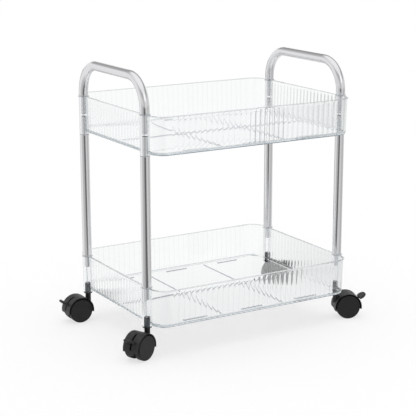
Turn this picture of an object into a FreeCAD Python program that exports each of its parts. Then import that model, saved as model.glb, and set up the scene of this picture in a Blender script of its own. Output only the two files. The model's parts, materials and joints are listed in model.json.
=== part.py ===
import FreeCAD, Part
import Sketcher
import math
import os
from types import SimpleNamespace

# Two-tray storage trolley on four braked twin-wheel casters.
# Clear fluted trays are threaded on tubes, and the upper tubes close into two end handles.
# Millimetres, +Z up, X along the trays. The origin is on the floor, midway between the posts.

SIZES = {
    # Tubes: posts and handles
    "tube_diameter": 19.0,
    "tube_wall": 1.2,
    "tube_edge_round": 0.8,
    "post_length": 258.5,
    "post_setback": 44.6,
    "handle_rise": 67.0,
    "handle_bend": 60.0,
    "spigot_diameter": 12.8,
    "spigot_long": 38.0,
    "spigot_short": 25.0,
    # Trays: one moulding, used twice
    "tray_length": 457.2,
    "tray_depth": 352.0,
    "tray_height": 76.0,
    "tray_corner": 31.0,
    "tray_wall": 2.4,
    "tray_draft": 1.5,
    "tray_foot_round": 5.0,
    "tray_inner_round": 3.0,
    "floor_thickness": 2.5,
    "foot_height": 2.5,
    "foot_width": 9.0,
    "lip_overhang": 1.8,
    "lip_height": 2.0,
    "flute_pitch": 12.5,
    "flute_ridge": 1.0,
    "flute_depth": 0.45,
    "flute_margin": 2.6,
    "floor_rib_width": 1.8,
    "floor_rib_spread": 145.0,
    "floor_rib_margin": 20.0,
    "floor_bar_length": 51.0,
    "floor_bar_width": 3.2,
    "floor_bar_spread": 133.0,
    "floor_bar_inset": 23.0,
    "boss_diameter": 19.4,
    "boss_drop": 4.0,
    "boss_rise": 1.0,
    "collar_diameter": 22.4,
    "collar_height": 3.0,
    "spigot_clearance": 0.1,
    # Casters
    "caster_height": 60.0,
    "caster_trail": 24.5,
    "wheel_diameter": 50.8,
    "wheel_width": 12.6,
    "wheel_rim": 1.8,
    "wheel_disc": 2.4,
    "wheel_hub": 12.0,
    "wheel_edge_round": 1.2,
    "wheel_shoulder": 2.4,
    "wheel_side_gap": 0.6,
    "hood_gap": 0.8,
    "hood_wall": 2.8,
    "hood_skirt_angle": 10.0,
    "hood_edge_round": 0.6,
    "web_foot": 12.0,
    "neck_diameter": 11.6,
    "neck_length": 24.0,
    "stem_diameter": 7.0,
    "stem_depth": 21.0,
    "stem_end_gap": 0.4,
    "stem_end_chamfer": 0.8,
    "sleeve_length": 20.0,
    "washer_diameter": 18.0,
    "washer_thickness": 2.0,
    "swivel_gap": 0.3,
    "running_clearance": 0.05,
    "axle_diameter": 6.0,
    "axle_end_gap": 0.4,
    # Brake lever
    "pivot_inset": 8.2,
    "pivot_angle": 35.0,
    "pivot_diameter": 3.0,
    "shoe_reach": 8.1,
    "shoe_angle": 99.0,
    "shoe_diameter": 3.0,
    "shoe_overlap": 6.0,
    "shoe_window": 8.6,
    "lever_width": 3.6,
    "lever_thickness": 4.4,
    "slot_gap": 0.4,
    "slot_low_angle": 1.0,
    "slot_high_angle": 74.0,
    "slot_floor": 6.0,
    "pedal_angle": 31.0,
    "pedal_gap": 3.4,
    "pedal_reach": 13.0,
    "pedal_width": 23.0,
    "pedal_thickness": 4.2,
    # How the casters stand in the photograph: degrees from +X to the trailing side
    "front_left_yaw": 203.5,
    "front_right_yaw": -21.7,
    "back_left_yaw": 180.0,
    "back_right_yaw": 0.0,
}

doc = FreeCAD.newDocument("storage_trolley")
sheet = doc.addObject("Spreadsheet::Sheet", "Sizes")
for row, (alias, number) in enumerate(SIZES.items(), start=1):
    sheet.set(f"A{row}", str(number))
    sheet.setAlias(f"A{row}", alias)
doc.recompute()


class Size:
    """A number together with the sheet formula that it comes from."""

    def __init__(self, value, text):
        self.value = value
        self.text = text

    @staticmethod
    def of(thing):
        """Take a Size as it is and write a plain number as its own formula."""
        if isinstance(thing, Size):
            return thing
        return Size(float(thing), f"({float(thing)})")

    def __add__(self, other):
        other = Size.of(other)
        return Size(self.value + other.value, f"({self.text} + {other.text})")

    def __sub__(self, other):
        other = Size.of(other)
        return Size(self.value - other.value, f"({self.text} - {other.text})")

    def __mul__(self, other):
        other = Size.of(other)
        return Size(self.value * other.value, f"({self.text} * {other.text})")

    def __truediv__(self, other):
        other = Size.of(other)
        return Size(self.value / other.value, f"({self.text} / {other.text})")

    def __neg__(self):
        return Size(-self.value, f"(-1 * {self.text})")

    __radd__ = __add__
    __rmul__ = __mul__

    def sin(self):
        """Sine of a size in degrees."""
        return Size(math.sin(math.radians(self.value)), f"sin({self.text} * 1 deg)")

    def cos(self):
        """Cosine of a size in degrees."""
        return Size(math.cos(math.radians(self.value)), f"cos({self.text} * 1 deg)")

    def root(self):
        """Square root of a size."""
        return Size(math.sqrt(self.value), f"sqrt({self.text})")

    def whole(self):
        """Largest whole number that is not above a size."""
        return Size(math.floor(self.value), f"floor({self.text})")


ZERO = Size.of(0)
s = SimpleNamespace(**{alias: Size(number, f"Sizes.{alias}") for alias, number in SIZES.items()})

# Sizes that several pieces share
tube_radius = s.tube_diameter / 2
spigot_radius = s.spigot_diameter / 2
post_x = s.tray_length / 2
post_y = s.tray_depth / 2 - s.post_setback
floor_top = s.foot_height + s.floor_thickness
boss_length = s.boss_drop + s.tray_height + s.boss_rise
lower_tray_z = s.caster_height + s.boss_drop
post_z = lower_tray_z + s.tray_height + s.boss_rise
upper_tray_z = post_z + s.post_length + s.boss_drop
handle_z = upper_tray_z + s.tray_height + s.boss_rise
wheel_radius = s.wheel_diameter / 2
rim_inner = wheel_radius - s.wheel_rim
wheel_inner_face = s.neck_diameter / 2 + s.wheel_side_gap
wheel_outer_face = wheel_inner_face + s.wheel_width
hood_inner = wheel_radius + s.hood_gap
hood_outer = hood_inner + s.hood_wall
washer_z = s.caster_height - s.washer_thickness
neck_top = washer_z - s.swivel_gap
stem_foot = neck_top - s.stem_depth
pivot_radius = rim_inner - s.pivot_inset
pivot_x = s.caster_trail + pivot_radius * s.pivot_angle.cos()
pivot_z = wheel_radius + pivot_radius * s.pivot_angle.sin()
shoe_x = pivot_x + s.shoe_reach * s.shoe_angle.cos()
shoe_z = pivot_z + s.shoe_reach * s.shoe_angle.sin()


def bind(thing, path, size):
    """Tie one property of a document object to the sheet."""
    thing.setExpression(path, Size.of(size).text)


def origin_part(body, role):
    """Find one of a body's own origin planes or axes."""
    return next(o for o in body.Origin.OriginFeatures if o.Role == role)


def new_body(name):
    """Start a piece that is then placed one or more times."""
    return doc.addObject("PartDesign::Body", name)


def sketch_on(body, role, name, offset=ZERO):
    """Start a sketch on an origin plane of the body, moved along the plane's normal."""
    sketch = body.newObject("Sketcher::SketchObject", name)
    sketch.AttachmentSupport = [(origin_part(body, role), "")]
    sketch.MapMode = "FlatFace"
    bind(sketch, "AttachmentOffset.Base.z", offset)
    return sketch


def pin(sketch, edge, vertex, x, y):
    """Hold one vertex of a sketch edge at a place from the sketch's origin."""
    for kind, size in (("DistanceX", x), ("DistanceY", y)):
        size = Size.of(size)
        index = sketch.addConstraint(Sketcher.Constraint(kind, edge, vertex, size.value))
        bind(sketch, f"Constraints[{index}]", size)


def arc_between(start, end, radius, turn):
    """Draw the short arc from start to end that turns left (1) or right (-1)."""
    chord = end - start
    left = FreeCAD.Vector(-chord.y, chord.x, 0).normalize()
    rise = math.sqrt(max(radius**2 - (chord.Length / 2) ** 2, 0.0))
    centre = (start + end) * 0.5 + left * (rise * turn)
    middle = centre - left * (radius * turn)
    return Part.Arc(start, middle, end)


def outline(sketch, points, arcs=None):
    """Close a chain of straight and round edges through pinned corners.

    arcs maps the index of an edge to its radius and its turn, left (1) or right (-1).
    """
    arcs = arcs or {}
    first = sketch.GeometryCount
    spots = [FreeCAD.Vector(Size.of(x).value, Size.of(y).value, 0) for x, y in points]
    count = len(spots)
    ends = []
    for i, start in enumerate(spots):
        end = spots[(i + 1) % count]
        if i in arcs:
            radius, turn = arcs[i]
            edge = sketch.addGeometry(arc_between(start, end, radius.value, turn))
            ends.append((1, 2) if turn > 0 else (2, 1))
        else:
            edge = sketch.addGeometry(Part.LineSegment(start, end))
            ends.append((1, 2))
    for i, (x, y) in enumerate(points):
        before = (i - 1) % count
        joint = (first + before, ends[before][1], first + i, ends[i][0])
        sketch.addConstraint(Sketcher.Constraint("Coincident", *joint))
        pin(sketch, first + i, ends[i][0], x, y)
    for i, (radius, turn) in arcs.items():
        index = sketch.addConstraint(Sketcher.Constraint("Radius", first + i, radius.value))
        bind(sketch, f"Constraints[{index}]", radius)


def circle(sketch, x, y, diameter):
    """Draw a circle at a place in the sketch."""
    diameter = Size.of(diameter)
    centre = FreeCAD.Vector(Size.of(x).value, Size.of(y).value, 0)
    edge = sketch.addGeometry(Part.Circle(centre, FreeCAD.Vector(0, 0, 1), diameter.value / 2))
    pin(sketch, edge, 3, x, y)
    index = sketch.addConstraint(Sketcher.Constraint("Diameter", edge, diameter.value))
    bind(sketch, f"Constraints[{index}]", diameter)


def rectangle(sketch, x, y, width, height):
    """Draw a rectangle about its middle."""
    left, right = x - width / 2, x + width / 2
    low, high = y - height / 2, y + height / 2
    outline(sketch, [(left, low), (right, low), (right, high), (left, high)])


def rounded_rectangle(sketch, half_length, half_depth, radius):
    """Draw a rectangle with round corners about the sketch's origin."""
    flat_x, flat_y = half_length - radius, half_depth - radius
    corners = [
        (-flat_x, -half_depth), (flat_x, -half_depth),
        (half_length, -flat_y), (half_length, flat_y),
        (flat_x, half_depth), (-flat_x, half_depth),
        (-half_length, flat_y), (-half_length, -flat_y),
    ]
    outline(sketch, corners, {i: (radius, 1) for i in (1, 3, 5, 7)})


def pad(body, sketch, length, symmetric=False):
    """Add the sketch's area, along its normal or to both sides."""
    feature = body.newObject("PartDesign::Pad", sketch.Name + "_pad")
    feature.Profile = sketch
    feature.SideType = "Symmetric" if symmetric else "One side"
    bind(feature, "Length", length)
    return feature


def pocket(body, sketch, length, symmetric=False, reverse=False):
    """Cut the sketch's area, against its normal unless reversed, or to both sides."""
    feature = body.newObject("PartDesign::Pocket", sketch.Name + "_cut")
    feature.Profile = sketch
    feature.SideType = "Symmetric" if symmetric else "One side"
    feature.Reversed = reverse
    bind(feature, "Length", length)
    return feature


def turn_about(body, kind, sketch, axis):
    """Turn the sketch's area once round one of its own axes."""
    feature = body.newObject(f"PartDesign::{kind}", sketch.Name + "_turned")
    feature.Profile = sketch
    feature.ReferenceAxis = (sketch, [axis])
    feature.Angle = 360.0
    return feature


def round_edges(body, wanted, radius, name):
    """Round those edges of the body so far that the test picks."""
    doc.recompute()
    base = body.Tip
    names = [f"Edge{i}" for i, edge in enumerate(base.Shape.Edges, start=1) if wanted(edge)]
    feature = body.newObject("PartDesign::Fillet", name)
    feature.Base = (base, names)
    bind(feature, "Radius", radius)
    return feature


def level(edge, height):
    """Tell whether an edge lies flat at a height."""
    near = 0.01
    return abs(edge.BoundBox.ZMin - height.value) < near and abs(edge.BoundBox.ZMax - height.value) < near


def flute_row(body, name, role, axis, side, reach, span):
    """Cut a row of round-topped flutes into one wall, as a ball-nosed cutter would leave them."""
    width = s.flute_pitch - s.flute_ridge
    cutter = (width * width / 4 + s.flute_depth * s.flute_depth) / (s.flute_depth * 2)
    count = (span / s.flute_pitch).whole()
    travel = s.flute_pitch * (count - 1)
    up_x, up_z = s.tray_draft.sin() * side, s.tray_draft.cos()
    in_x, in_z = -(s.tray_draft.cos() * side), s.tray_draft.sin()
    below_rim = s.flute_margin + width / 2
    out = cutter - s.flute_depth
    dome_x = reach * side - up_x * below_rim - in_x * out
    dome_z = s.tray_height - up_z * below_rim - in_z * out
    low_x, low_z = dome_x - up_x * s.tray_height, dome_z - up_z * s.tray_height
    start = travel / 2 if role == "XZ_Plane" else -(travel / 2)
    sketch = sketch_on(body, role, name, start)
    corners = [
        (low_x, low_z),
        (low_x + in_x * cutter, low_z + in_z * cutter),
        (dome_x + in_x * cutter, dome_z + in_z * cutter),
        (dome_x + up_x * cutter, dome_z + up_z * cutter),
    ]
    outline(sketch, corners, {2: (cutter, -side)})
    groove = body.newObject("PartDesign::Groove", name + "_cut")
    groove.Profile = sketch
    groove.ReferenceAxis = (sketch, ["Edge4"])
    groove.Angle = 360.0
    pattern = body.newObject("PartDesign::LinearPattern", name + "_row")
    pattern.Originals = [groove]
    pattern.Direction = (origin_part(body, axis), [""])
    bind(pattern, "Length", travel)
    bind(pattern, "Occurrences", count)
    body.Tip = pattern


def make_tray():
    """Mould a clear tray: drafted fluted walls, raised floor, rim lip and four tube sockets."""
    body = new_body("tray_moulding")
    half_length, half_depth = s.tray_length / 2, s.tray_depth / 2

    block = sketch_on(body, "XY_Plane", "tray_block", s.tray_height)
    rounded_rectangle(block, half_length, half_depth, s.tray_corner)
    walls = pad(body, block, s.tray_height)
    walls.Reversed = True
    bind(walls, "TaperAngle", -s.tray_draft)
    round_edges(body, lambda edge: level(edge, ZERO), s.tray_foot_round, "tray_foot_edge")

    inside = sketch_on(body, "XY_Plane", "tray_inside", s.tray_height)
    inner_corner = s.tray_corner - s.tray_wall
    rounded_rectangle(inside, half_length - s.tray_wall, half_depth - s.tray_wall, inner_corner)
    hollow = pocket(body, inside, s.tray_height - floor_top)
    bind(hollow, "TaperAngle", -s.tray_draft)
    round_edges(body, lambda edge: level(edge, floor_top), s.tray_inner_round, "tray_floor_edge")

    under = sketch_on(body, "XY_Plane", "tray_under")
    rounded_rectangle(under, half_length - s.foot_width, half_depth - s.foot_width, s.tray_corner)
    pocket(body, under, s.foot_height, reverse=True)

    ribs = sketch_on(body, "XY_Plane", "cross_ribs")
    rib_length = s.tray_depth - s.floor_rib_margin * 2
    for side in (-1, 1):
        rectangle(ribs, s.floor_rib_spread / 2 * side, ZERO, s.floor_rib_width, rib_length)
    pad(body, ribs, s.foot_height)
    spine = sketch_on(body, "XY_Plane", "long_rib")
    rectangle(spine, ZERO, ZERO, s.tray_length - s.floor_rib_margin * 2, s.floor_rib_width)
    pad(body, spine, s.foot_height)
    bars = sketch_on(body, "XY_Plane", "floor_bars")
    for column in (-1, 0, 1):
        for side in (-1, 1):
            bar_y = (half_depth - s.floor_bar_inset) * side
            rectangle(bars, s.floor_bar_spread * column, bar_y, s.floor_bar_length, s.floor_bar_width)
    pad(body, bars, s.foot_height)

    long_span = s.tray_length - s.tray_corner * 2
    short_span = (post_y - s.collar_diameter / 2) * 2
    for side, end in ((-1, "front"), (1, "back")):
        flute_row(body, f"{end}_flute", "YZ_Plane", "X_Axis", side, half_depth, long_span)
    for side, end in ((-1, "left"), (1, "right")):
        flute_row(body, f"{end}_flute", "XZ_Plane", "Y_Axis", side, half_length, short_span)

    lip = sketch_on(body, "XY_Plane", "tray_lip", s.tray_height - s.lip_height)
    outer, inner = s.lip_overhang, -(s.tray_wall / 2)
    for grow in (outer, inner):
        rounded_rectangle(lip, half_length + grow, half_depth + grow, s.tray_corner + grow)
    pad(body, lip, s.lip_height)

    places = [(post_x * across, post_y * along) for across in (-1, 1) for along in (-1, 1)]
    boss_top = s.tray_height + s.boss_rise
    bosses = sketch_on(body, "XY_Plane", "sockets", -s.boss_drop)
    collars = sketch_on(body, "XY_Plane", "socket_collars", boss_top - s.collar_height)
    bores = sketch_on(body, "XY_Plane", "socket_bores", boss_top)
    for x, y in places:
        circle(bosses, x, y, s.boss_diameter)
        circle(collars, x, y, s.collar_diameter)
        circle(bores, x, y, s.spigot_diameter + s.spigot_clearance * 2)
    pad(body, bosses, boss_length)
    pad(body, collars, s.collar_height)
    pocket(body, bores, boss_length)
    return body


def make_post():
    """Turn a tube whose two ends are drawn down to spigots."""
    body = new_body("post_tube")
    sketch = sketch_on(body, "XZ_Plane", "post_wall")
    length, edge, wall = s.post_length, s.tube_edge_round, s.tube_wall
    tube_bore, spigot_bore = tube_radius - wall, spigot_radius - wall
    corners = [
        (spigot_bore, -s.spigot_short), (spigot_radius, -s.spigot_short), (spigot_radius, ZERO),
        (tube_radius - edge, ZERO), (tube_radius, edge),
        (tube_radius, length - edge), (tube_radius - edge, length),
        (spigot_radius, length), (spigot_radius, length + s.spigot_long),
        (spigot_bore, length + s.spigot_long), (spigot_bore, length - wall),
        (tube_bore, length - wall), (tube_bore, wall), (spigot_bore, wall),
    ]
    outline(sketch, corners, {3: (edge, 1), 5: (edge, 1)})
    turn_about(body, "Revolution", sketch, "V_Axis")
    return body


def make_handle():
    """Bend a tube into an upside-down U with a spigot below each leg."""
    body = new_body("handle_tube")
    bend, rise, wall = s.handle_bend, s.handle_rise, s.tube_wall
    path = sketch_on(body, "YZ_Plane", "handle_path")
    stops = [
        (-post_y, ZERO), (-post_y, rise - bend), (bend - post_y, rise),
        (post_y - bend, rise), (post_y, rise - bend), (post_y, ZERO),
    ]
    spots = [FreeCAD.Vector(x.value, y.value, 0) for x, y in stops]
    for i in range(len(spots) - 1):
        if i in (1, 3):
            path.addGeometry(arc_between(spots[i], spots[i + 1], bend.value, -1))
        else:
            path.addGeometry(Part.LineSegment(spots[i], spots[i + 1]))
    bend_edges = (1, 3)
    entry = {i: 2 if i in bend_edges else 1 for i in range(len(spots) - 1)}
    leave = {i: 1 if i in bend_edges else 2 for i in range(len(spots) - 1)}
    for i in entry:
        pin(path, i, entry[i], *stops[i])
        if i:
            path.addConstraint(Sketcher.Constraint("Coincident", i - 1, leave[i - 1], i, entry[i]))
    last = len(spots) - 2
    pin(path, last, leave[last], *stops[-1])
    for i in bend_edges:
        index = path.addConstraint(Sketcher.Constraint("Radius", i, bend.value))
        bind(path, f"Constraints[{index}]", bend)

    ring = sketch_on(body, "XY_Plane", "handle_ring")
    circle(ring, ZERO, -post_y, s.tube_diameter)
    circle(ring, ZERO, -post_y, s.tube_diameter - wall * 2)
    tube = body.newObject("PartDesign::AdditivePipe", "handle_bow")
    tube.Profile = ring
    tube.Spine = (path, [])

    shoulders = sketch_on(body, "XY_Plane", "leg_shoulders")
    spigots = sketch_on(body, "XY_Plane", "leg_spigots", -s.spigot_long)
    for side in (-1, 1):
        circle(shoulders, ZERO, post_y * side, s.tube_diameter)
        circle(shoulders, ZERO, post_y * side, s.spigot_diameter - wall * 2)
        circle(spigots, ZERO, post_y * side, s.spigot_diameter)
        circle(spigots, ZERO, post_y * side, s.spigot_diameter - wall * 2)
    pad(body, shoulders, wall)
    pad(body, spigots, s.spigot_long + wall)
    return body


def make_stem():
    """Turn the steel pin that the caster swivels on."""
    body = new_body("caster_stem")
    sketch = sketch_on(body, "XZ_Plane", "stem_half")
    radius, edge = s.stem_diameter / 2, s.stem_end_chamfer
    low, high = stem_foot + s.stem_end_gap, s.caster_height + s.sleeve_length
    corners = [
        (ZERO, low), (radius - edge, low), (radius, low + edge),
        (radius, high - edge), (radius - edge, high), (ZERO, high),
    ]
    outline(sketch, corners)
    turn_about(body, "Revolution", sketch, "V_Axis")
    return body


def make_sleeve():
    """Turn the grip sleeve that holds the stem in the tray's socket."""
    body = new_body("stem_sleeve")
    sketch = sketch_on(body, "XZ_Plane", "sleeve_half")
    bore, outer, edge = s.stem_diameter / 2, spigot_radius, s.stem_end_chamfer
    low, high = s.caster_height, s.caster_height + s.sleeve_length
    corners = [
        (bore, low), (outer, low), (outer, high - edge), (outer - edge, high), (bore, high),
    ]
    outline(sketch, corners)
    turn_about(body, "Revolution", sketch, "V_Axis")
    return body


def make_washer():
    """Stamp the thrust washer between the socket and the caster's neck."""
    body = new_body("thrust_washer")
    sketch = sketch_on(body, "XY_Plane", "washer_ring", washer_z)
    circle(sketch, ZERO, ZERO, s.washer_diameter)
    circle(sketch, ZERO, ZERO, s.stem_diameter)
    pad(body, sketch, s.washer_thickness)
    return body


def ring_sector(sketch, inner, outer, low, high):
    """Draw a piece of a ring about the axle, from one angle to another and up to half a turn."""
    middle = (low + high) / 2
    spots = [
        (s.caster_trail + radius * angle.cos(), wheel_radius + radius * angle.sin())
        for radius, angle in (
            (outer, low), (outer, middle), (outer, high), (inner, high), (inner, middle), (inner, low)
        )
    ]
    outline(sketch, spots, {0: (outer, 1), 1: (outer, 1), 3: (inner, -1), 4: (inner, -1)})


def make_housing():
    """Mould the caster's body: a hood over both wheels, a web between them and the neck."""
    body = new_body("caster_housing")
    half_turn = 180

    shell = sketch_on(body, "XZ_Plane", "hood")
    ring_sector(shell, hood_inner, hood_outer, -s.hood_skirt_angle, s.hood_skirt_angle + half_turn)
    pad(body, shell, wheel_outer_face * 2, symmetric=True)

    side_faces = wheel_outer_face.value
    round_edges(
        body,
        lambda edge: abs(abs(edge.CenterOfMass.y) - side_faces) < 0.01
        and edge.Curve.TypeId == "Part::GeomCircle"
        and edge.Curve.Radius > hood_inner.value + 0.01,
        s.hood_edge_round,
        "hood_rim",
    )

    web = sketch_on(body, "XZ_Plane", "web")
    web_radius = hood_inner + s.hood_wall / 2
    half_chord = (web_radius * web_radius - s.web_foot * s.web_foot).root()
    corners = [
        (s.caster_trail + half_chord, wheel_radius - s.web_foot),
        (s.caster_trail, wheel_radius + web_radius),
        (s.caster_trail - half_chord, wheel_radius - s.web_foot),
    ]
    outline(web, corners, {0: (web_radius, 1), 1: (web_radius, 1)})
    pad(body, web, s.neck_diameter, symmetric=True)

    neck = sketch_on(body, "XY_Plane", "neck", neck_top - s.neck_length)
    circle(neck, ZERO, ZERO, s.neck_diameter)
    pad(body, neck, s.neck_length)

    stem_bore = sketch_on(body, "XY_Plane", "stem_bore", neck_top)
    circle(stem_bore, ZERO, ZERO, s.stem_diameter + s.running_clearance * 2)
    pocket(body, stem_bore, s.stem_depth)

    slot = sketch_on(body, "XZ_Plane", "lever_slot")
    slot_reach = hood_outer + s.hood_wall
    ring_sector(slot, s.slot_floor + s.axle_diameter / 2, slot_reach, s.slot_low_angle, s.slot_high_angle)
    pocket(body, slot, s.lever_width + s.slot_gap * 2, symmetric=True)

    cross = sketch_on(body, "XZ_Plane", "cross_bores")
    circle(cross, s.caster_trail, wheel_radius, s.axle_diameter)
    circle(cross, pivot_x, pivot_z, s.pivot_diameter)
    circle(cross, shoe_x, shoe_z, s.shoe_window)
    pocket(body, cross, s.neck_diameter, symmetric=True)
    return body


def cross_pin(name, x, z, diameter, length):
    """Cut a round bar that lies along the axle's direction."""
    body = new_body(name)
    sketch = sketch_on(body, "XZ_Plane", name + "_round")
    circle(sketch, x, z, diameter)
    pad(body, sketch, length, symmetric=True)
    return body


def make_wheel():
    """Turn one cup-shaped wheel about the axle, with its plain disc facing outwards."""
    body = new_body("caster_wheel")
    sketch = sketch_on(body, "YZ_Plane", "wheel_half")
    face_in, face_out = wheel_inner_face, wheel_outer_face
    disc_back = face_out - s.wheel_disc
    bore = s.axle_diameter / 2 + s.running_clearance
    hub, edge, shoulder = s.wheel_hub / 2, s.wheel_edge_round, s.wheel_shoulder
    corners = [
        (face_in, bore), (disc_back, bore), (disc_back, ZERO), (face_out, ZERO),
        (face_out, wheel_radius - shoulder), (face_out - shoulder, wheel_radius),
        (face_in + edge, wheel_radius), (face_in, wheel_radius - edge),
        (face_in, rim_inner), (disc_back, rim_inner), (disc_back, hub), (face_in, hub),
    ]
    outline(sketch, corners, {4: (shoulder, 1), 6: (edge, 1)})
    turn_about(body, "Revolution", sketch, "H_Axis")
    return body


def make_lever():
    """Mould the brake lever: a pedal outside the hood and a shoe inside the wheel rims."""
    body = new_body("brake_lever")
    half = s.lever_thickness / 2
    out_x, out_z = s.pedal_angle.cos(), s.pedal_angle.sin()
    root_radius = hood_outer + s.pedal_gap
    tip_radius = root_radius + s.pedal_reach
    root_x, root_z = s.caster_trail + root_radius * out_x, wheel_radius + root_radius * out_z
    tip_x, tip_z = s.caster_trail + tip_radius * out_x, wheel_radius + tip_radius * out_z

    hub = sketch_on(body, "XZ_Plane", "lever_hub")
    circle(hub, pivot_x, pivot_z, s.pivot_diameter + s.lever_thickness)
    pad(body, hub, s.lever_width, symmetric=True)

    arm = sketch_on(body, "XZ_Plane", "lever_arm")
    thin = s.pedal_thickness / 2
    arm_points = [
        (pivot_x + out_z * half, pivot_z - out_x * half),
        (root_x + out_x * half + out_z * thin, root_z + out_z * half - out_x * thin),
        (root_x + out_x * half - out_z * thin, root_z + out_z * half + out_x * thin),
        (pivot_x - out_z * half, pivot_z + out_x * half),
    ]
    outline(arm, arm_points)
    pad(body, arm, s.lever_width, symmetric=True)

    crank = sketch_on(body, "XZ_Plane", "lever_crank")
    side_x, side_z = s.shoe_angle.sin(), -s.shoe_angle.cos()
    grip = s.shoe_diameter / 2
    crank_points = [
        (pivot_x - side_x * half, pivot_z - side_z * half),
        (pivot_x + side_x * half, pivot_z + side_z * half),
        (shoe_x + side_x * grip, shoe_z + side_z * grip),
        (shoe_x - side_x * grip, shoe_z - side_z * grip),
    ]
    outline(crank, crank_points)
    pad(body, crank, s.lever_width, symmetric=True)

    shoe = sketch_on(body, "XZ_Plane", "brake_shoe")
    circle(shoe, shoe_x, shoe_z, s.shoe_diameter)
    pad(body, shoe, (wheel_inner_face + s.shoe_overlap) * 2, symmetric=True)

    pedal = sketch_on(body, "XZ_Plane", "pedal")
    pedal_points = [
        (root_x + out_z * thin, root_z - out_x * thin),
        (tip_x + out_z * thin, tip_z - out_x * thin),
        (tip_x + out_x * thin, tip_z + out_z * thin),
        (tip_x - out_z * thin, tip_z + out_x * thin),
        (root_x - out_z * thin, root_z + out_x * thin),
        (root_x - out_x * thin, root_z - out_z * thin),
    ]
    outline(pedal, pedal_points, {i: (thin, 1) for i in (1, 2, 4, 5)})
    pad(body, pedal, s.pedal_width, symmetric=True)

    eye = sketch_on(body, "XZ_Plane", "lever_eye")
    circle(eye, pivot_x, pivot_z, s.pivot_diameter + s.running_clearance * 2)
    pocket(body, eye, s.lever_width, symmetric=True)
    return body


nodes = []


def place(label, master, x=ZERO, y=ZERO, z=ZERO, yaw=ZERO):
    """Set one copy of a piece in the trolley under its own name."""
    copy = doc.addObject("PartDesign::Body", label)
    copy.Label = label
    base = doc.addObject("PartDesign::FeatureBase", label + "_shape")
    base.BaseFeature = master
    copy.Group = [base]
    copy.Tip = base
    for path, size in (("Base.x", x), ("Base.y", y), ("Base.z", z)):
        bind(copy, "Placement." + path, size)
    copy.Placement.Rotation.Axis = FreeCAD.Vector(0, 0, 1)
    bind(copy, "Placement.Rotation.Angle", yaw)
    nodes.append(copy)


def build_frame():
    """Stack trays, posts and handles."""
    tray, post, handle = make_tray(), make_post(), make_handle()
    place("lower_tray", tray, z=lower_tray_z)
    place("upper_tray", tray, z=upper_tray_z)
    for across, end in ((-1, "left"), (1, "right")):
        place(f"{end}_handle", handle, post_x * across, ZERO, handle_z)
        for along, face in ((-1, "front"), (1, "back")):
            place(f"{face}_{end}_post", post, post_x * across, post_y * along, post_z)


def build_casters():
    """Stand one caster under each socket, turned as in the photograph."""
    axle_half = wheel_outer_face - s.wheel_disc - s.axle_end_gap
    axle = cross_pin("wheel_axle", s.caster_trail, wheel_radius, s.axle_diameter, axle_half * 2)
    pivot = cross_pin("pivot_pin", pivot_x, pivot_z, s.pivot_diameter, s.neck_diameter)
    pieces = {
        "stem": make_stem(),
        "stem_sleeve": make_sleeve(),
        "washer": make_washer(),
        "housing": make_housing(),
        "axle": axle,
        "brake_pin": pivot,
        "brake_lever": make_lever(),
    }
    wheel = make_wheel()
    half_turn = 180
    for along, face in ((-1, "front"), (1, "back")):
        for across, end in ((-1, "left"), (1, "right")):
            corner = f"{face}_{end}"
            yaw = getattr(s, f"{corner}_yaw")
            x, y = post_x * across, post_y * along
            for piece, master in pieces.items():
                place(f"{corner}_{piece}", master, x, y, ZERO, yaw)
            hub_x = x + s.caster_trail * yaw.cos()
            hub_y = y + s.caster_trail * yaw.sin()
            place(f"{corner}_left_wheel", wheel, hub_x, hub_y, wheel_radius, yaw)
            place(f"{corner}_right_wheel", wheel, hub_x, hub_y, wheel_radius, yaw + half_turn)


def check_and_write():
    """Stop if anything failed to build, then write one file for each piece."""
    doc.recompute()
    failed = [o.Label for o in doc.Objects if {"Invalid", "Error"} & set(o.State)]
    failed += [o.Label for o in nodes if o.Shape.isNull() or not o.Shape.isValid()]
    if failed:
        raise RuntimeError(f"these did not build: {failed}")
    os.makedirs("parts", exist_ok=True)
    for node in nodes:
        node.Shape.exportStep(f"parts/{node.Label}.step")
    print(f"{len(nodes)} pieces written")


build_frame()
build_casters()
check_and_write()
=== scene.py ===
"""Looks of a two-tray storage trolley: clear fluted trays, satin tubes and black twin-wheel casters.

Everything is in metres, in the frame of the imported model: +Z up, X along the trays, origin on the floor.
"""

import json
import logging
import math
from collections.abc import Callable
from dataclasses import dataclass
from enum import Enum

import bmesh
import bpy
from mathutils import Matrix, Vector


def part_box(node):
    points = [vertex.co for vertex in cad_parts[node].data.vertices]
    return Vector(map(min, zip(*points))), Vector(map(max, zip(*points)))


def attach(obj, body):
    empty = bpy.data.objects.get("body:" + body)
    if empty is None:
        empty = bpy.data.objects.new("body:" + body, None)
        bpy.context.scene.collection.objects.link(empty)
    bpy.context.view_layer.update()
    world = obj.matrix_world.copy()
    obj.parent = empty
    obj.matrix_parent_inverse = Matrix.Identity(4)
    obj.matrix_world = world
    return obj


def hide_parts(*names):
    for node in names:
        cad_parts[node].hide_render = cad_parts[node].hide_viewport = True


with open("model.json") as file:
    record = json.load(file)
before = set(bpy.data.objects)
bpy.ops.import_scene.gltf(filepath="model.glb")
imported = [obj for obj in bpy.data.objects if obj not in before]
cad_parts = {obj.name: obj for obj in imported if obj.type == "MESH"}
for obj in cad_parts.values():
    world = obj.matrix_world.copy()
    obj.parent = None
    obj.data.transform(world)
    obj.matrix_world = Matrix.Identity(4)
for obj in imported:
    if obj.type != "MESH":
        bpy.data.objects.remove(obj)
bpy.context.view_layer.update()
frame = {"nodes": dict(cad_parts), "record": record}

TURN_STEPS = 48
SHARP_EDGE = math.radians(28)
TINY = 1e-7
# Face attribute with the painted shade: dark refraction lines on the clear trays, and the shadow in the
# gap round the caster wheels
PAINTED_SHADE_MARK = "moulding_edge"

Profile = list[tuple[float, float]]
Levels = tuple[tuple[float, float], ...]
Colour = tuple[float, float, float]
Form = bmesh.types.BMesh
Piece = bpy.types.Object
Socket = bpy.types.NodeSocket

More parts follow.
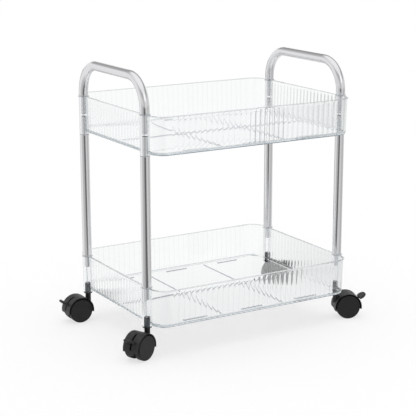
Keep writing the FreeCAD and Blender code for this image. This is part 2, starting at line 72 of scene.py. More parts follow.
log = logging.getLogger("storage_trolley")


class Cut(Enum):
    """Ways to combine a piece with a tool shape."""

    JOIN = "UNION"
    TAKE = "DIFFERENCE"


class TubeMap(Enum):
    """Attributes that say where a point of a tube lies."""

    ALONG = "tube_along"
    TURN = "tube_turn"


class Corner(Enum):
    """The four corners where a post, a socket and a caster share one axis."""

    FRONT_LEFT = "front_left"
    FRONT_RIGHT = "front_right"
    BACK_LEFT = "back_left"
    BACK_RIGHT = "back_right"

    @property
    def axis(self) -> Vector:
        """Give the point on the floor under the corner's socket."""
        return floor_middle(*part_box(f"{self.value}_stem_sleeve"))

    @property
    def caster_place(self) -> Matrix:
        """Give the turn and place of the caster, whose own +X is its trailing side."""
        across = joint_called(f"{self.value}_left_wheel_roll")["axis"]
        return Matrix.Translation(self.axis) @ Matrix.Rotation(math.atan2(-across[0], across[1]), 4, "Z")


class Side(Enum):
    """The two wheels of a caster, by the side of its axle that they run on."""

    LEFT = 1
    RIGHT = -1

    @property
    def word(self) -> str:
        """Give the side's name in lower case."""
        return self.name.lower()


def joint_called(name: str) -> dict:
    """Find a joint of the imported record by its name."""
    return next(joint for joint in frame["record"]["behaviour"]["joints"] if joint["name"] == name)


def floor_middle(low: Vector, high: Vector) -> Vector:
    """Give the point on the floor under the middle of a box."""
    return Vector(((low[0] + high[0]) / 2, (low[1] + high[1]) / 2, 0.0))


def arc(centre: tuple[float, float], radius: float, start: float, end: float, steps: int) -> Profile:
    """Sample a round stretch of a profile.

    Args:
        centre: Middle of the arc.
        radius: Radius of the arc.
        start: Angle of the first point, in degrees.
        end: Angle of the last point, in degrees.
        steps: Number of straight pieces.

    Returns:
        The points from start to end, both included.
    """
    points = []
    for i in range(steps + 1):
        angle = math.radians(start + (end - start) * i / steps)
        points.append((centre[0] + radius * math.cos(angle), centre[1] + radius * math.sin(angle)))
    return points


def turned(profile: Profile, closed: bool = False, steps: int = TURN_STEPS) -> Form:
    """Turn a profile of radius and height once about Z.

    Args:
        profile: Points that go up the outside, so that faces point outwards.
        closed: True where the last point joins the first, as on a ring.
        steps: Number of sides of the round.

    Returns:
        The turned form, closed at the poles.
    """
    form = bmesh.new()
    rings = []
    for radius, height in profile:
        count = 1 if radius < TINY else steps
        angles = [math.tau * i / steps for i in range(count)]
        spots = [(radius * math.cos(angle), radius * math.sin(angle), height) for angle in angles]
        rings.append([form.verts.new(spot) for spot in spots])
    pairs = list(zip(rings, rings[1:]))
    if closed:
        pairs.append((rings[-1], rings[0]))
    for low, high in pairs:
        for i in range(steps):
            j = (i + 1) % steps
            corners = (low[i % len(low)], low[j % len(low)], high[j % len(high)], high[i % len(high)])
            form.faces.new(list(dict.fromkeys(corners)))
    return form


def rod(radius: float, low: float, high: float) -> Form:
    """Turn a plain round rod between two heights."""
    return turned([(0.0, low), (radius, low), (radius, high), (0.0, high)])


def lofted(sections: list[tuple[float, Profile]]) -> Form:
    """Join outlines in X and Z, which have as many points each, to one solid along Y.

    Args:
        sections: Y and outline of each section from near to far, anticlockwise as seen from the front.

    Returns:
        The closed solid.
    """
    form = bmesh.new()
    rings = [[form.verts.new((x, place, z)) for x, z in outline] for place, outline in sections]
    form.faces.new(rings[0])
    form.faces.new(list(reversed(rings[-1])))
    for near, far in zip(rings, rings[1:]):
        for i in range(len(near)):
            j = (i + 1) % len(near)
            form.faces.new((near[j], near[i], far[i], far[j]))
    return form


def prism(outline: Profile, half: float) -> Form:
    """Raise an outline in X and Z to a solid that reaches as far to both sides along Y."""
    return lofted([(-half, outline), (half, outline)])


def placed(name: str, data: bpy.types.ID) -> Piece:
    """Put a mesh, a curve or a camera into the scene.

    Args:
        name: Name of the object.
        data: What the object shows.

    Returns:
        The object, at the origin.
    """
    piece = bpy.data.objects.new(name, data)
    bpy.context.scene.collection.objects.link(piece)
    return piece


def piece_of(name: str, form: Form) -> Piece:
    """Turn a form into an object of the scene, and let the form go.

    Args:
        name: Name of the object.
        form: Its shape.

    Returns:
        The object, at the origin.
    """
    mesh = bpy.data.meshes.new(name)
    form.to_mesh(mesh)
    form.free()
    return placed(name, mesh)


def settle(piece: Piece) -> None:
    """Replace a piece's mesh by its finished one, and remove its modifiers.

    Args:
        piece: The piece, with its modifiers still live.
    """
    bpy.context.view_layer.update()
    finished = piece.evaluated_get(bpy.context.evaluated_depsgraph_get())
    mesh = bpy.data.meshes.new_from_object(finished)
    piece.modifiers.clear()
    piece.data = mesh
    mesh.name = piece.name


def carve(piece: Piece, *steps: tuple[Cut, Form]) -> None:
    """Join forms to a piece or take them from it, one after the other.

    Args:
        piece: A closed solid.
        steps: What to do with each closed form.
    """
    tools = []
    for cut, form in steps:
        tool = piece_of(f"{piece.name}_tool", form)
        modifier = piece.modifiers.new(cut.name, "BOOLEAN")
        modifier.operation = cut.value
        modifier.solver = "MANIFOLD"
        modifier.object = tool
        tools.append(tool)
    settle(piece)
    for tool in tools:
        bpy.data.objects.remove(tool, do_unlink=True)


def shade(piece: Piece, sharp: float = SHARP_EDGE) -> None:
    """Smooth a piece's faces, with flat faces kept flat.

    Args:
        piece: The piece.
        sharp: Angle from which an edge stays sharp.
    """
    piece.data.shade_smooth()
    piece.data.set_sharp_from_angle(angle=sharp)
    modifier = piece.modifiers.new("even_faces", "WEIGHTED_NORMAL")
    modifier.keep_sharp = True
    settle(piece)


def joined(first: Form, *others: Form) -> Form:
    """Put several closed forms into one.

    Args:
        first: Form that takes up the others.
        others: Forms that are let go.

    Returns:
        The first form.
    """
    for other in others:
        mesh = bpy.data.meshes.new("joined")
        other.to_mesh(mesh)
        other.free()
        first.from_mesh(mesh)
        bpy.data.meshes.remove(mesh)
    return first


def mark_edges(piece: Piece, darkness: Callable[[Vector, Vector], float]) -> None:
    """Store on each face of a piece how much painted shade it gets.

    Args:
        piece: The piece.
        darkness: Gives a value between 0 and 1 for a face's middle and the direction that it looks in.
    """
    marks = piece.data.attributes.new(PAINTED_SHADE_MARK, "FLOAT", "FACE")
    for face, mark in zip(piece.data.polygons, marks.data):
        mark.value = darkness(face.center, face.normal)


class Sheet:
    """A node tree that is being drawn up."""

    def __init__(self, tree: bpy.types.NodeTree) -> None:
        """Start on a tree."""
        self.tree = tree

    def add(self, kind: str, inputs: dict | None = None, **settings: object) -> bpy.types.Node:
        """Add a node.

        Args:
            kind: Blender's name of the node.
            inputs: Values, or sockets to link from, by the input's name or index.
            settings: Other properties of the node.

        Returns:
            The new node.
        """
        node = self.tree.nodes.new(kind)
        for name, value in settings.items():
            setattr(node, name, value)
        for key, value in (inputs or {}).items():
            if isinstance(value, Socket):
                self.tree.links.new(value, node.inputs[key])
            else:
                node.inputs[key].default_value = value
        return node

    def maths(self, operation: str, *values: float | Socket) -> Socket:
        """Add a maths node and give its result."""
        return self.add("ShaderNodeMath", dict(enumerate(values)), operation=operation).outputs[0]

    def square(self, value: Socket) -> Socket:
        """Multiply a value by itself."""
        return self.maths("MULTIPLY", value, value)

    def vector(self, **parts: float | Socket) -> Socket:
        """Put X, Y and Z together."""
        return self.add("ShaderNodeCombineXYZ", parts).outputs[0]

    def scaled(self, vector: Socket, factor: float | Socket) -> Socket:
        """Make a vector longer or shorter."""
        inputs = {0: vector, "Scale": factor}
        return self.add("ShaderNodeVectorMath", inputs, operation="SCALE").outputs[0]

    def spread(self, value: Socket, low: float, high: float) -> Socket:
        """Stretch a value between 0 and 1 over another range."""
        node = self.add("ShaderNodeMapRange", {"Value": value, "To Min": low, "To Max": high})
        return node.outputs["Result"]

    def ease(self, value: Socket, start: float, end: float) -> Socket:
        """Go softly from 0 to 1 while a value goes from start to end."""
        inputs = {"Value": value, "From Min": start, "From Max": end}
        return self.add("ShaderNodeMapRange", inputs, interpolation_type="SMOOTHSTEP").outputs["Result"]

    def mix(self, share: Socket, first: float | Socket, second: float | Socket) -> Socket:
        """Mix two levels by a share between 0 and 1."""
        return self.add("ShaderNodeMix", {0: share, 2: first, 3: second}, data_type="FLOAT").outputs[0]

    def blend(self, share: Socket, first: Colour | Socket, second: Colour | Socket) -> Socket:
        """Mix two colours by a share between 0 and 1."""
        ends = [end if isinstance(end, Socket) else (*end, 1.0) for end in (first, second)]
        return self.add("ShaderNodeMix", {0: share, 6: ends[0], 7: ends[1]}, data_type="RGBA").outputs[2]

    def noise(self, vector: Socket, scale: float, detail: float = 2.0) -> Socket:
        """Add a noise between 0 and 1."""
        inputs = {"Vector": vector, "Scale": scale, "Detail": detail}
        return self.add("ShaderNodeTexNoise", inputs).outputs[0]

    def bump(self, height: Socket, distance: float, strength: float = 1.0) -> Socket:
        """Turn a height into a normal."""
        inputs = {"Height": height, "Strength": strength, "Distance": distance}
        return self.add("ShaderNodeBump", inputs).outputs["Normal"]

    def place(self) -> Socket:
        """Give the object coordinates."""
        return self.add("ShaderNodeTexCoord").outputs["Object"]

    def mark(self, name: str) -> Socket:
        """Read a number that is stored on the piece."""
        return self.add("ShaderNodeAttribute", attribute_name=name).outputs["Fac"]


def blank_sheet(owner: bpy.types.Material | bpy.types.World) -> Sheet:
    """Clear the nodes of a material or a world.

    Args:
        owner: The material or world.

    Returns:
        The empty sheet of its tree.
    """
    owner.use_nodes = True
    owner.node_tree.nodes.clear()
    return Sheet(owner.node_tree)


class GeometrySheet(Sheet):
    """A geometry tree with named inputs."""

    def __init__(self, name: str, sizes: dict[str, float]) -> None:
        """Start a tree that takes a geometry, a material and sizes.

        Args:
            name: Name of the tree.
            sizes: Value of each size, by the name of its input.
        """
        super().__init__(bpy.data.node_groups.new(name, "GeometryNodeTree"))
        face = self.tree.interface
        face.new_socket(name="Geometry", in_out="OUTPUT", socket_type="NodeSocketGeometry")
        face.new_socket(name="Geometry", in_out="INPUT", socket_type="NodeSocketGeometry")
        self.values: dict[str, object] = dict(sizes)
        self.keys: dict[str, str] = {}
        kinds = {size: "NodeSocketFloat" for size in sizes} | {"Material": "NodeSocketMaterial"}
        for key, kind in kinds.items():
            self.keys[key] = face.new_socket(name=key, in_out="INPUT", socket_type=kind).identifier
        self.inputs = self.add("NodeGroupInput").outputs

    def attribute(self, name: str, kind: str = "FLOAT") -> Socket:
        """Read an attribute of the geometry."""
        node = self.add("GeometryNodeInputNamedAttribute", {"Name": name}, data_type=kind)
        return next(output for output in node.outputs if output.enabled)

    def finish(self, geometry: Socket) -> None:
        """End the tree: make instances real and set the material.

        Args:
            geometry: The finished geometry.
        """
        real = self.add("GeometryNodeRealizeInstances", {"Geometry": geometry}).outputs[0]
        inputs = {"Geometry": real, "Material": self.inputs["Material"]}
        coated = self.add("GeometryNodeSetMaterial", inputs).outputs[0]
        self.add("NodeGroupOutput", {"Geometry": coated})

    def apply(self, piece: Piece, material: bpy.types.Material) -> None:
        """Run the tree on a piece and keep the result as its plain mesh.

        Args:
            piece: The piece, whose mesh goes into the tree.
            material: Material that the tree sets.
        """
        modifier = piece.modifiers.new(self.tree.name, "NODES")
        modifier.node_group = self.tree
        for name, value in {**self.values, "Material": material}.items():
            modifier[self.keys[name]] = value
        settle(piece)


class Finish:
    """What all finishes share."""

    slot: str

    def material(self) -> bpy.types.Material:
        """Give the finish's material, made on first use.

        Returns:
            The material, which all pieces of this finish share.
        """
        name = f"{self.slot}_finish"
        made = bpy.data.materials.get(name)
        if made is None:
            made = bpy.data.materials.new(name)
            sheet = blank_sheet(made)
            surface = sheet.add("ShaderNodeBsdfPrincipled", self.surface(sheet)).outputs[0]
            sheet.add("ShaderNodeOutputMaterial", {"Surface": surface, **self.body(sheet)})
        return made

    def surface(self, sheet: Sheet) -> dict[str, object]:
        """Give the inputs of the finish's shader."""
        raise NotImplementedError

    def body(self, sheet: Sheet) -> dict[str, Socket]:
        """Give what fills a piece below its surface: nothing, unless the finish is clear."""
        return {}


@dataclass(frozen=True)
class ClearPlastic(Finish):
    """Polished clear moulding that turns blue-grey where it is seen edge on, with painted shade lines."""

    slot: str = "clear_plastic"
    tint: Colour = (0.985, 0.992, 0.995)
    ior: float = 1.53
    roughness: float = 0.02
    ripple_scale: float = 35.0
    ripple_depth: float = 0.00002
    edge_colour: Colour = (0.62, 0.74, 0.79)
    edge_density: float = 1.2
    # Colour of the painted shade lines on marked faces
    line_tint: Colour = (0.17, 0.21, 0.26)

    def surface(self, sheet: Sheet) -> dict[str, object]:
        """Draw a clear surface with a faint ripple and painted shade lines on marked faces.

        Args:
            sheet: Sheet of the material.

        Returns:
            The shader's inputs.
        """
        ripple = sheet.noise(sheet.place(), self.ripple_scale)
        return {
            # Painted shade: marked faces turn dark blue-grey, standing in for the dark lines that
            # refraction draws on the edges
            "Base Color": sheet.blend(sheet.mark(PAINTED_SHADE_MARK), self.tint, self.line_tint),
            "Roughness": self.roughness,
            "IOR": self.ior,
            "Transmission Weight": 1.0,
            "Normal": sheet.bump(ripple, self.ripple_depth),
        }

    def body(self, sheet: Sheet) -> dict[str, Socket]:
        """Give the colour that light takes on along a long way through the plastic."""
        inputs = {"Color": (*self.edge_colour, 1.0), "Density": self.edge_density}
        return {"Volume": sheet.add("ShaderNodeVolumeAbsorption", inputs).outputs[0]}


@dataclass(frozen=True)
class SatinTube(Finish):
    """Bright satin metal with fine lines drawn along the tube."""

    slot: str = "satin_tube"
    light: Colour = (0.83, 0.83, 0.84)
    dark: Colour = (0.74, 0.74, 0.76)
    smooth: float = 0.10
    rough: float = 0.19
    lines_round: float = 26.0
    lines_along: float = 18.0
    line_detail: float = 4.0
    line_depth: float = 0.000006

    def surface(self, sheet: Sheet) -> dict[str, object]:
        """Draw metal whose gloss follows long fine streaks.

        Args:
            sheet: Sheet of the material.

        Returns:
            The shader's inputs.
        """
        angle = sheet.maths("MULTIPLY", sheet.mark(TubeMap.TURN.value), math.tau)
        spot = sheet.vector(
            X=sheet.maths("MULTIPLY", sheet.maths("COSINE", angle), self.lines_round),
            Y=sheet.maths("MULTIPLY", sheet.maths("SINE", angle), self.lines_round),
            Z=sheet.maths("MULTIPLY", sheet.mark(TubeMap.ALONG.value), self.lines_along),
        )
        streak = sheet.noise(spot, 1.0, self.line_detail)
        return {
            "Base Color": sheet.blend(streak, self.dark, self.light),
            "Metallic": 1.0,
            "Roughness": sheet.spread(streak, self.smooth, self.rough),
            "Normal": sheet.bump(streak, self.line_depth),
        }


@dataclass(frozen=True)
class MouldedPlastic(Finish):
    """Solid moulded plastic with a fine spark-eroded grain."""

    slot: str
    light: Colour
    dark: Colour
    smooth: float = 0.36
    rough: float = 0.50
    gloss: float = 0.26
    # Near black of the painted shadow on marked faces
    seam: Colour = (0.001, 0.001, 0.001)
    cloud_scale: float = 90.0
    cloud_detail: float = 3.0
    grain_scale: float = 2600.0
    grain_depth: float = 0.00003
    grain_strength: float = 0.5

    def surface(self, sheet: Sheet) -> dict[str, object]:
        """Draw a grained surface with slightly uneven gloss and painted black shadow on marked faces.

        Args:
            sheet: Sheet of the material.

        Returns:
            The shader's inputs.
        """
        place = sheet.place()
        cloud = sheet.noise(place, self.cloud_scale, self.cloud_detail)
        grain = sheet.noise(place, self.grain_scale)
        plain = sheet.blend(cloud, self.dark, self.light)
        return {
            # Painted shadow: marked faces turn near black
            "Base Color": sheet.blend(sheet.mark(PAINTED_SHADE_MARK), plain, self.seam),
            "Specular IOR Level": self.gloss,
            "Roughness": sheet.spread(cloud, self.smooth, self.rough),
            "Normal": sheet.bump(grain, self.grain_depth, self.grain_strength),
        }


@dataclass(frozen=True)
class BareSteel(Finish):
    """Turned steel of pins, stems and axles."""

    slot: str = "steel"
    light: Colour = (0.62, 0.62, 0.63)
    dark: Colour = (0.45, 0.45, 0.47)
    smooth: float = 0.25
    rough: float = 0.42
    cut_scale: float = 700.0
    cut_detail: float = 3.0

    def surface(self, sheet: Sheet) -> dict[str, object]:
        """Draw grey metal with fine tool marks.

        Args:
            sheet: Sheet of the material.

        Returns:
            The shader's inputs.
        """
        cuts = sheet.noise(sheet.place(), self.cut_scale, self.cut_detail)
        return {
            "Base Color": sheet.blend(cuts, self.dark, self.light),
            "Metallic": 1.0,
            "Roughness": sheet.spread(cuts, self.smooth, self.rough),
        }


CLEAR = ClearPlastic()
SATIN = SatinTube()
STEEL = BareSteel()
BLACK = MouldedPlastic("black_plastic", light=(0.042, 0.042, 0.043), dark=(0.024, 0.024, 0.025))
GREY = MouldedPlastic("grey_plastic", light=(0.085, 0.100, 0.120), dark=(0.065, 0.078, 0.094))
WHEEL = MouldedPlastic(
    "wheel_plastic", light=(0.022, 0.022, 0.023), dark=(0.014, 0.014, 0.015), smooth=0.42, rough=0.56
)


def hand_in(piece: Piece, finish: Finish, body: str, node: str) -> None:
    """Dress a finished piece and let it ride in place of a node.

    Args:
        piece: The finished piece, at the origin.
        finish: Finish of the whole piece.
        body: Body that carries it.
        node: Node that it stands for.
    """
    piece.data.materials.clear()
    piece.data.materials.append(finish.material())
    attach(piece, body)
    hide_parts(node)
    log.info("%s: %d faces, rides on %s", piece.name, len(piece.data.polygons), body)


def keep_node(node: str, finish: Finish) -> None:
    """Give a node that stays as it is a better finish.

    Args:
        node: Name of the node.
        finish: Its finish.
    """
    for place in frame["nodes"][node].material_slots:
        place.material = finish.material()
    log.info("%s: kept, %s", node, finish.slot)


@dataclass
class Tray:
    """One clear tray: fluted walls with a rim lip, a raised ribbed floor and four tube sockets."""

    node: str
    half_length: float = 0.2286
    half_depth: float = 0.176
    height: float = 0.076
    corner: float = 0.031
    wall: float = 0.0024
    wall_rows: int = 4
    draft: float = math.radians(1.5)
    foot_round: float = 0.005
    inner_round: float = 0.003
    floor_under: float = 0.0025
    floor_top: float = 0.005
    foot_width: float = 0.009
    lip: float = 0.0018
    lip_height: float = 0.002
    lip_round: float = 0.0007
    flute_pitch: float = 0.0125
    flute_width: float = 0.0115
    flute_depth: float = 0.00045
    flute_margin: float = 0.0026
    rib_width: float = 0.0018
    rib_spread: float = 0.145
    rib_margin: float = 0.020
    rib_bite: float = 0.25
    bar_length: float = 0.051
    bar_width: float = 0.0032
    bar_spread: float = 0.133
    bar_inset: float = 0.023
    bar_columns: int = 3
    bar_rows: int = 2
    boss_radius: float = 0.0097
    boss_drop: float = 0.004
    boss_rise: float = 0.001
    collar_radius: float = 0.0112
    collar_height: float = 0.003
    bore_radius: float = 0.0065
    edge_round: float = 0.0004
    corner_steps: int = 12
    round_steps: int = 7
    arch_steps: int = 5
    crease: float = math.radians(14.5)
    same_place: float = 0.00001
    upright: float = 0.5
    foot_look: tuple[float, float] = (-0.92, -0.45)
    ridge_look: float = 0.9985
    # Strength of the painted shade lines on the ribs, the foot, its inner rings, the rim and the flute
    # ridges
    rib_line: float = 1.0
    foot_line: float = 0.95
    ring_line: float = 0.10
    rim_line: float = 0.45
    ridge_line: float = 0.20

    @property
    def base(self) -> float:
        """Give the height of the tray's foot above the floor."""
        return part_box(self.node)[0][2] + self.boss_drop

    @property
    def top(self) -> float:
        """Give the height of the sockets' top above the tray's foot."""
        return self.height + self.boss_rise

    @property
    def arch_centre(self) -> float:
        """Give the height of the middle of the flutes' round tops."""
        return self.height - self.flute_margin - self.flute_width / 2

    def lean(self, height: float) -> float:
        """Give how far the drafted wall lies inside the rim's outline at a height."""
        return (self.height - height) * math.tan(self.draft)

    def arch_step(self, step: int) -> float:
        """Give a step's distance from a flute's middle, with closer steps towards its edge."""
        return math.sin(math.pi / 2 * step / self.arch_steps) * self.flute_width / 2

    def section(self) -> Profile:
        """Draw the section of the wall.

        Returns:
            Each point's offset from the rim's outline and its height, from below the floor to above it.
        """
        foot, steps = self.foot_round, self.round_steps
        points = [(-self.foot_width, self.floor_under), (-self.foot_width, 0.0)]
        points += arc((-self.lean(foot) - foot, foot), foot, -90, 0, steps)
        low, high = foot, self.arch_centre
        heights = [low + (high - low) * row / self.wall_rows for row in range(1, self.wall_rows)]
        heights += [high + self.arch_step(step) for step in range(self.arch_steps + 1)]
        lip_low, soft = self.height - self.lip_height, self.lip_round
        points += [(-self.lean(height), height) for height in [*heights, lip_low]]
        points += arc((self.lip - soft, lip_low + soft), soft, -90, 0, steps)
        points += arc((self.lip - soft, self.height - soft), soft, 0, 90, steps)
        points += arc((-self.wall + soft, self.height - soft), soft, 90, 180, steps)
        inner = self.inner_round
        inner_foot = -self.wall - self.lean(self.floor_top + inner)
        points += arc((inner_foot - inner, self.floor_top + inner), inner, 0, -90, steps)
        return points

    def flute_reach(self, span: float) -> int:
        """Give the number of flutes on each side of a wall's middle one."""
        return (math.floor(span / self.flute_pitch) - 1) // 2

    def stations(self, half_span: float, reach: int) -> list[float]:
        """Divide a wall's faces along its length.

        Args:
            half_span: Distance of the wall's start from its middle.
            reach: Number of flutes on each side of the middle one.

        Returns:
            The places from the wall's middle.
        """
        places = [-half_span]
        for flute in range(-reach, reach + 1):
            for step in range(-self.arch_steps, self.arch_steps + 1):
                places.append(flute * self.flute_pitch + self.arch_step(step))
        return places

    def columns(self) -> list[tuple[Vector, Vector, float, int]]:
        """Go once round the outline, anticlockwise.

        Returns:
            Each column's middle, outward direction, place along its wall and the flute reach there.
        """
        core = Vector((self.half_length - self.corner, self.half_depth - self.corner))
        long_reach = self.flute_reach(core.x * 2)
        post_y = abs(Corner.FRONT_LEFT.axis.y)
        short_reach = self.flute_reach((post_y - self.collar_radius) * 2)
        walls = [
            (Vector((0, -1)), Vector((1, 0)), core.y, core.x, long_reach),
            (Vector((1, 0)), Vector((0, 1)), core.x, core.y, short_reach),
            (Vector((0, 1)), Vector((-1, 0)), core.y, core.x, long_reach),
            (Vector((-1, 0)), Vector((0, -1)), core.x, core.y, short_reach),
        ]
        columns = []
        for outward, onward, reach_out, half_span, reach in walls:
            for along in self.stations(half_span, reach):
                columns.append((outward * reach_out + onward * along, outward, along, reach))
            corner_middle = outward * reach_out + onward * half_span
            for i in range(self.corner_steps):
                turn = math.pi / 2 * i / self.corner_steps
                direction = outward * math.cos(turn) + onward * math.sin(turn)
                columns.append((corner_middle, direction, 0.0, -1))
        return columns

    def shell(self) -> Piece:
        """Build the plain shell, with what the flutes need stored on its points.

        Returns:
            The shell, with its foot at height 0.
        """
        columns, section = self.columns(), self.section()
        form = bmesh.new()
        along_layer = form.verts.layers.float.new("wall_along")
        reach_layer = form.verts.layers.float.new("flute_reach")
        rise_layer = form.verts.layers.float.new("arch_rise")
        recess_layer = form.verts.layers.float.new("recess")
        outward_layer = form.verts.layers.float_vector.new("outward")
        foot_rows = 2
        lip_row = next(i for i, (offset, _) in enumerate(section) if offset > 0)
        grid = []
        for middle, outward, along, reach in columns:
            line = []
            for row, (offset, height) in enumerate(section):
                spot = middle + outward * (self.corner + offset)
                vert = form.verts.new((spot.x, spot.y, height))
                outer_wall = foot_rows <= row < lip_row - 1
                vert[along_layer] = along
                vert[reach_layer] = reach if outer_wall else -1
                vert[rise_layer] = height - self.arch_centre
                vert[recess_layer] = -self.lean(height) - offset
                vert[outward_layer] = outward.to_3d()
                line.append(vert)
            grid.append(line)
        for i, line in enumerate(grid):
            following = grid[(i + 1) % len(grid)]
            for row in range(len(section) - 1):
                form.faces.new((line[row], following[row], following[row + 1], line[row + 1]))
        self.span_floor(form, [line[0] for line in grid], down=True)
        self.span_floor(form, [line[-1] for line in grid], down=False)
        return piece_of(f"{self.node}_moulding", form)

    def span_floor(self, form: Form, edge: list[bmesh.types.BMVert], down: bool) -> None:
        """Fill a floor with strips from the front wall to the back wall.

        Args:
            form: Form that gets the faces.
            edge: Points round the edge of the floor.
            down: True where the faces look down.
        """
        lines: list[list[bmesh.types.BMVert]] = []
        for vert in sorted(edge, key=lambda vert: vert.co.x):
            if lines and vert.co.x - lines[-1][0].co.x < self.same_place:
                lines[-1].append(vert)
            else:
                lines.append([vert])
        for line in lines:
            line.sort(key=lambda vert: vert.co.y)
        for first, second in zip(lines, lines[1:]):
            face = form.faces.new([*reversed(first), *second])
            face.normal_update()
            if (face.normal.z < 0) != down:
                face.normal_flip()

    def flute(self, piece: Piece) -> None:
        """Sink round-topped flutes into the outer walls, as a ball-nosed cutter would leave them.

        Args:
            piece: The plain shell.
        """
        sizes = {"Pitch": self.flute_pitch, "Width": self.flute_width, "Depth": self.flute_depth}
        sheet = GeometrySheet("tray_flutes", sizes)
        pitch, width, depth = (sheet.inputs[name] for name in sizes)
        along, reach = sheet.attribute("wall_along"), sheet.attribute("flute_reach")
        index = sheet.maths("ROUND", sheet.maths("DIVIDE", along, pitch))
        across = sheet.maths("SUBTRACT", along, sheet.maths("MULTIPLY", index, pitch))
        rise = sheet.maths("MAXIMUM", sheet.attribute("arch_rise"), 0.0)
        away = sheet.maths("ADD", sheet.square(across), sheet.square(rise))
        half = sheet.maths("DIVIDE", width, 2.0)
        chord = sheet.maths("ADD", sheet.square(half), sheet.square(depth))
        cutter = sheet.maths("DIVIDE", chord, sheet.maths("MULTIPLY", depth, 2.0))
        ball = sheet.maths("SUBTRACT", sheet.square(cutter), away)
        reached = sheet.maths("SQRT", sheet.maths("MAXIMUM", ball, 0.0))
        start = sheet.maths("ADD", sheet.maths("SUBTRACT", cutter, depth), sheet.attribute("recess"))
        sunk = sheet.maths("MAXIMUM", sheet.maths("SUBTRACT", reached, start), 0.0)
        here = sheet.maths("LESS_THAN", sheet.maths("ABSOLUTE", index), sheet.maths("ADD", reach, 0.5))
        inward = sheet.maths("MULTIPLY", sheet.maths("MULTIPLY", sunk, here), -1.0)
        move = sheet.scaled(sheet.attribute("outward", "FLOAT_VECTOR"), inward)
        inputs = {"Geometry": sheet.inputs["Geometry"], "Offset": move}
        sheet.finish(sheet.add("GeometryNodeSetPosition", inputs).outputs[0])
        sheet.apply(piece, CLEAR.material())

    def ribs(self) -> Form:
        """Set out the ribs and bars under the floor.

        Returns:
            The ribs and bars, which reach a little way into the floor.
        """
        sizes = {
            "Rib spread": self.rib_spread,
            "Rib width": self.rib_width,
            "Cross rib length": (self.half_depth - self.rib_margin) * 2,
            "Long rib length": (self.half_length - self.rib_margin) * 2,
            "Bar spread": self.bar_spread * 2,
            "Bar rows apart": (self.half_depth - self.bar_inset) * 2,
            "Bar length": self.bar_length,
            "Bar width": self.bar_width,
            "Height": self.floor_under + (self.floor_top - self.floor_under) * self.rib_bite,
        }
        sheet = GeometrySheet("tray_floor_ribs", sizes)
        given = sheet.inputs
        line = {"mode": "OFFSET", "count_mode": "TOTAL"}
        step = sheet.vector(X=given["Rib spread"])
        inputs = {"Count": 2, "Start Location": sheet.scaled(step, -0.5), "Offset": step}
        pair = sheet.add("GeometryNodeMeshLine", inputs, **line)
        single = sheet.add("GeometryNodeMeshLine", {"Count": 1}, **line)
        inputs = {"Size X": given["Bar spread"], "Size Y": given["Bar rows apart"]}
        inputs |= {"Vertices X": self.bar_columns, "Vertices Y": self.bar_rows}
        grid = sheet.add("GeometryNodeMeshGrid", inputs)
        every = sheet.add("GeometryNodeJoinGeometry")
        for spots, length, width in (
            (pair, "Rib width", "Cross rib length"),
            (single, "Long rib length", "Rib width"),
            (grid, "Bar length", "Bar width"),
        ):
            size = sheet.vector(X=given[length], Y=given[width], Z=given["Height"])
            block = sheet.add("GeometryNodeMeshCube", {"Size": size}).outputs["Mesh"]
            inputs = {"Points": spots.outputs["Mesh"], "Instance": block}
            bars = sheet.add("GeometryNodeInstanceOnPoints", inputs).outputs[0]
            sheet.tree.links.new(bars, every.inputs[0])
        up = sheet.vector(Z=sheet.maths("DIVIDE", given["Height"], 2.0))
        raised = sheet.add("GeometryNodeTransform", {"Geometry": every.outputs[0], "Translation": up})
        sheet.finish(raised.outputs[0])
        holder = piece_of("tray_ribs", bmesh.new())
        sheet.apply(holder, CLEAR.material())
        form = bmesh.new()
        form.from_mesh(holder.data)
        bpy.data.objects.remove(holder, do_unlink=True)
        return form

    def socket_solid(self) -> Form:
        """Turn a socket's outside, with its collar at the top.

        Returns:
            The closed form, about the origin.
        """
        low, high = -self.boss_drop, self.top
        soft, steps = self.edge_round, self.round_steps
        collar_low = high - self.collar_height
        profile = [(0.0, low)]
        profile += arc((self.boss_radius - soft, low + soft), soft, -90, 0, steps)
        profile.append((self.boss_radius, collar_low))
        profile += arc((self.collar_radius - soft, collar_low + soft), soft, -90, 0, steps)
        profile += arc((self.collar_radius - soft, high - soft), soft, 0, 90, steps)
        profile.append((0.0, high))
        return turned(profile)

    def socket_bore(self) -> Form:
        """Turn the bore that runs right through a socket and past its ends."""
        return rod(self.bore_radius, -self.boss_drop * 2, self.top + self.boss_drop)

    def edge_line(self, spot: Vector, normal: Vector) -> float:
        """Give how much painted shade a face gets, by where the face lies.

        Args:
            spot: Middle of the face, with the tray's foot at height 0.
            normal: Direction that the face looks in.

        Returns:
            0 on plain faces, up to 1 where the painted shade is darkest.
        """
        # Painted shade standing in for the dark lines that refraction draws on the clear edges
        deep = min(self.half_length - abs(spot.x), self.half_depth - abs(spot.y))
        lengthways = abs(normal.y) > abs(normal.x)
        below = deep > self.foot_width - self.same_place and 0.0 < spot.z < self.floor_under
        if below and abs(normal.z) < self.upright:
            return self.rib_line if deep > self.foot_width + self.rib_width else self.ring_line
        if spot.z < self.foot_round and self.foot_look[0] < normal.z < self.foot_look[1]:
            return self.foot_line if lengthways else self.ring_line
        if abs(spot.z - self.height) < self.lip_height + self.same_place and normal.z < self.upright:
            return self.rim_line
        along, facing = (spot.x, normal.y * spot.y) if lengthways else (spot.y, normal.x * spot.x)
        across = abs(along - round(along / self.flute_pitch) * self.flute_pitch)
        straight = max(abs(normal.x), abs(normal.y)) > self.ridge_look and facing > 0
        return self.ridge_line if straight and across > self.flute_width / 2 else 0.0

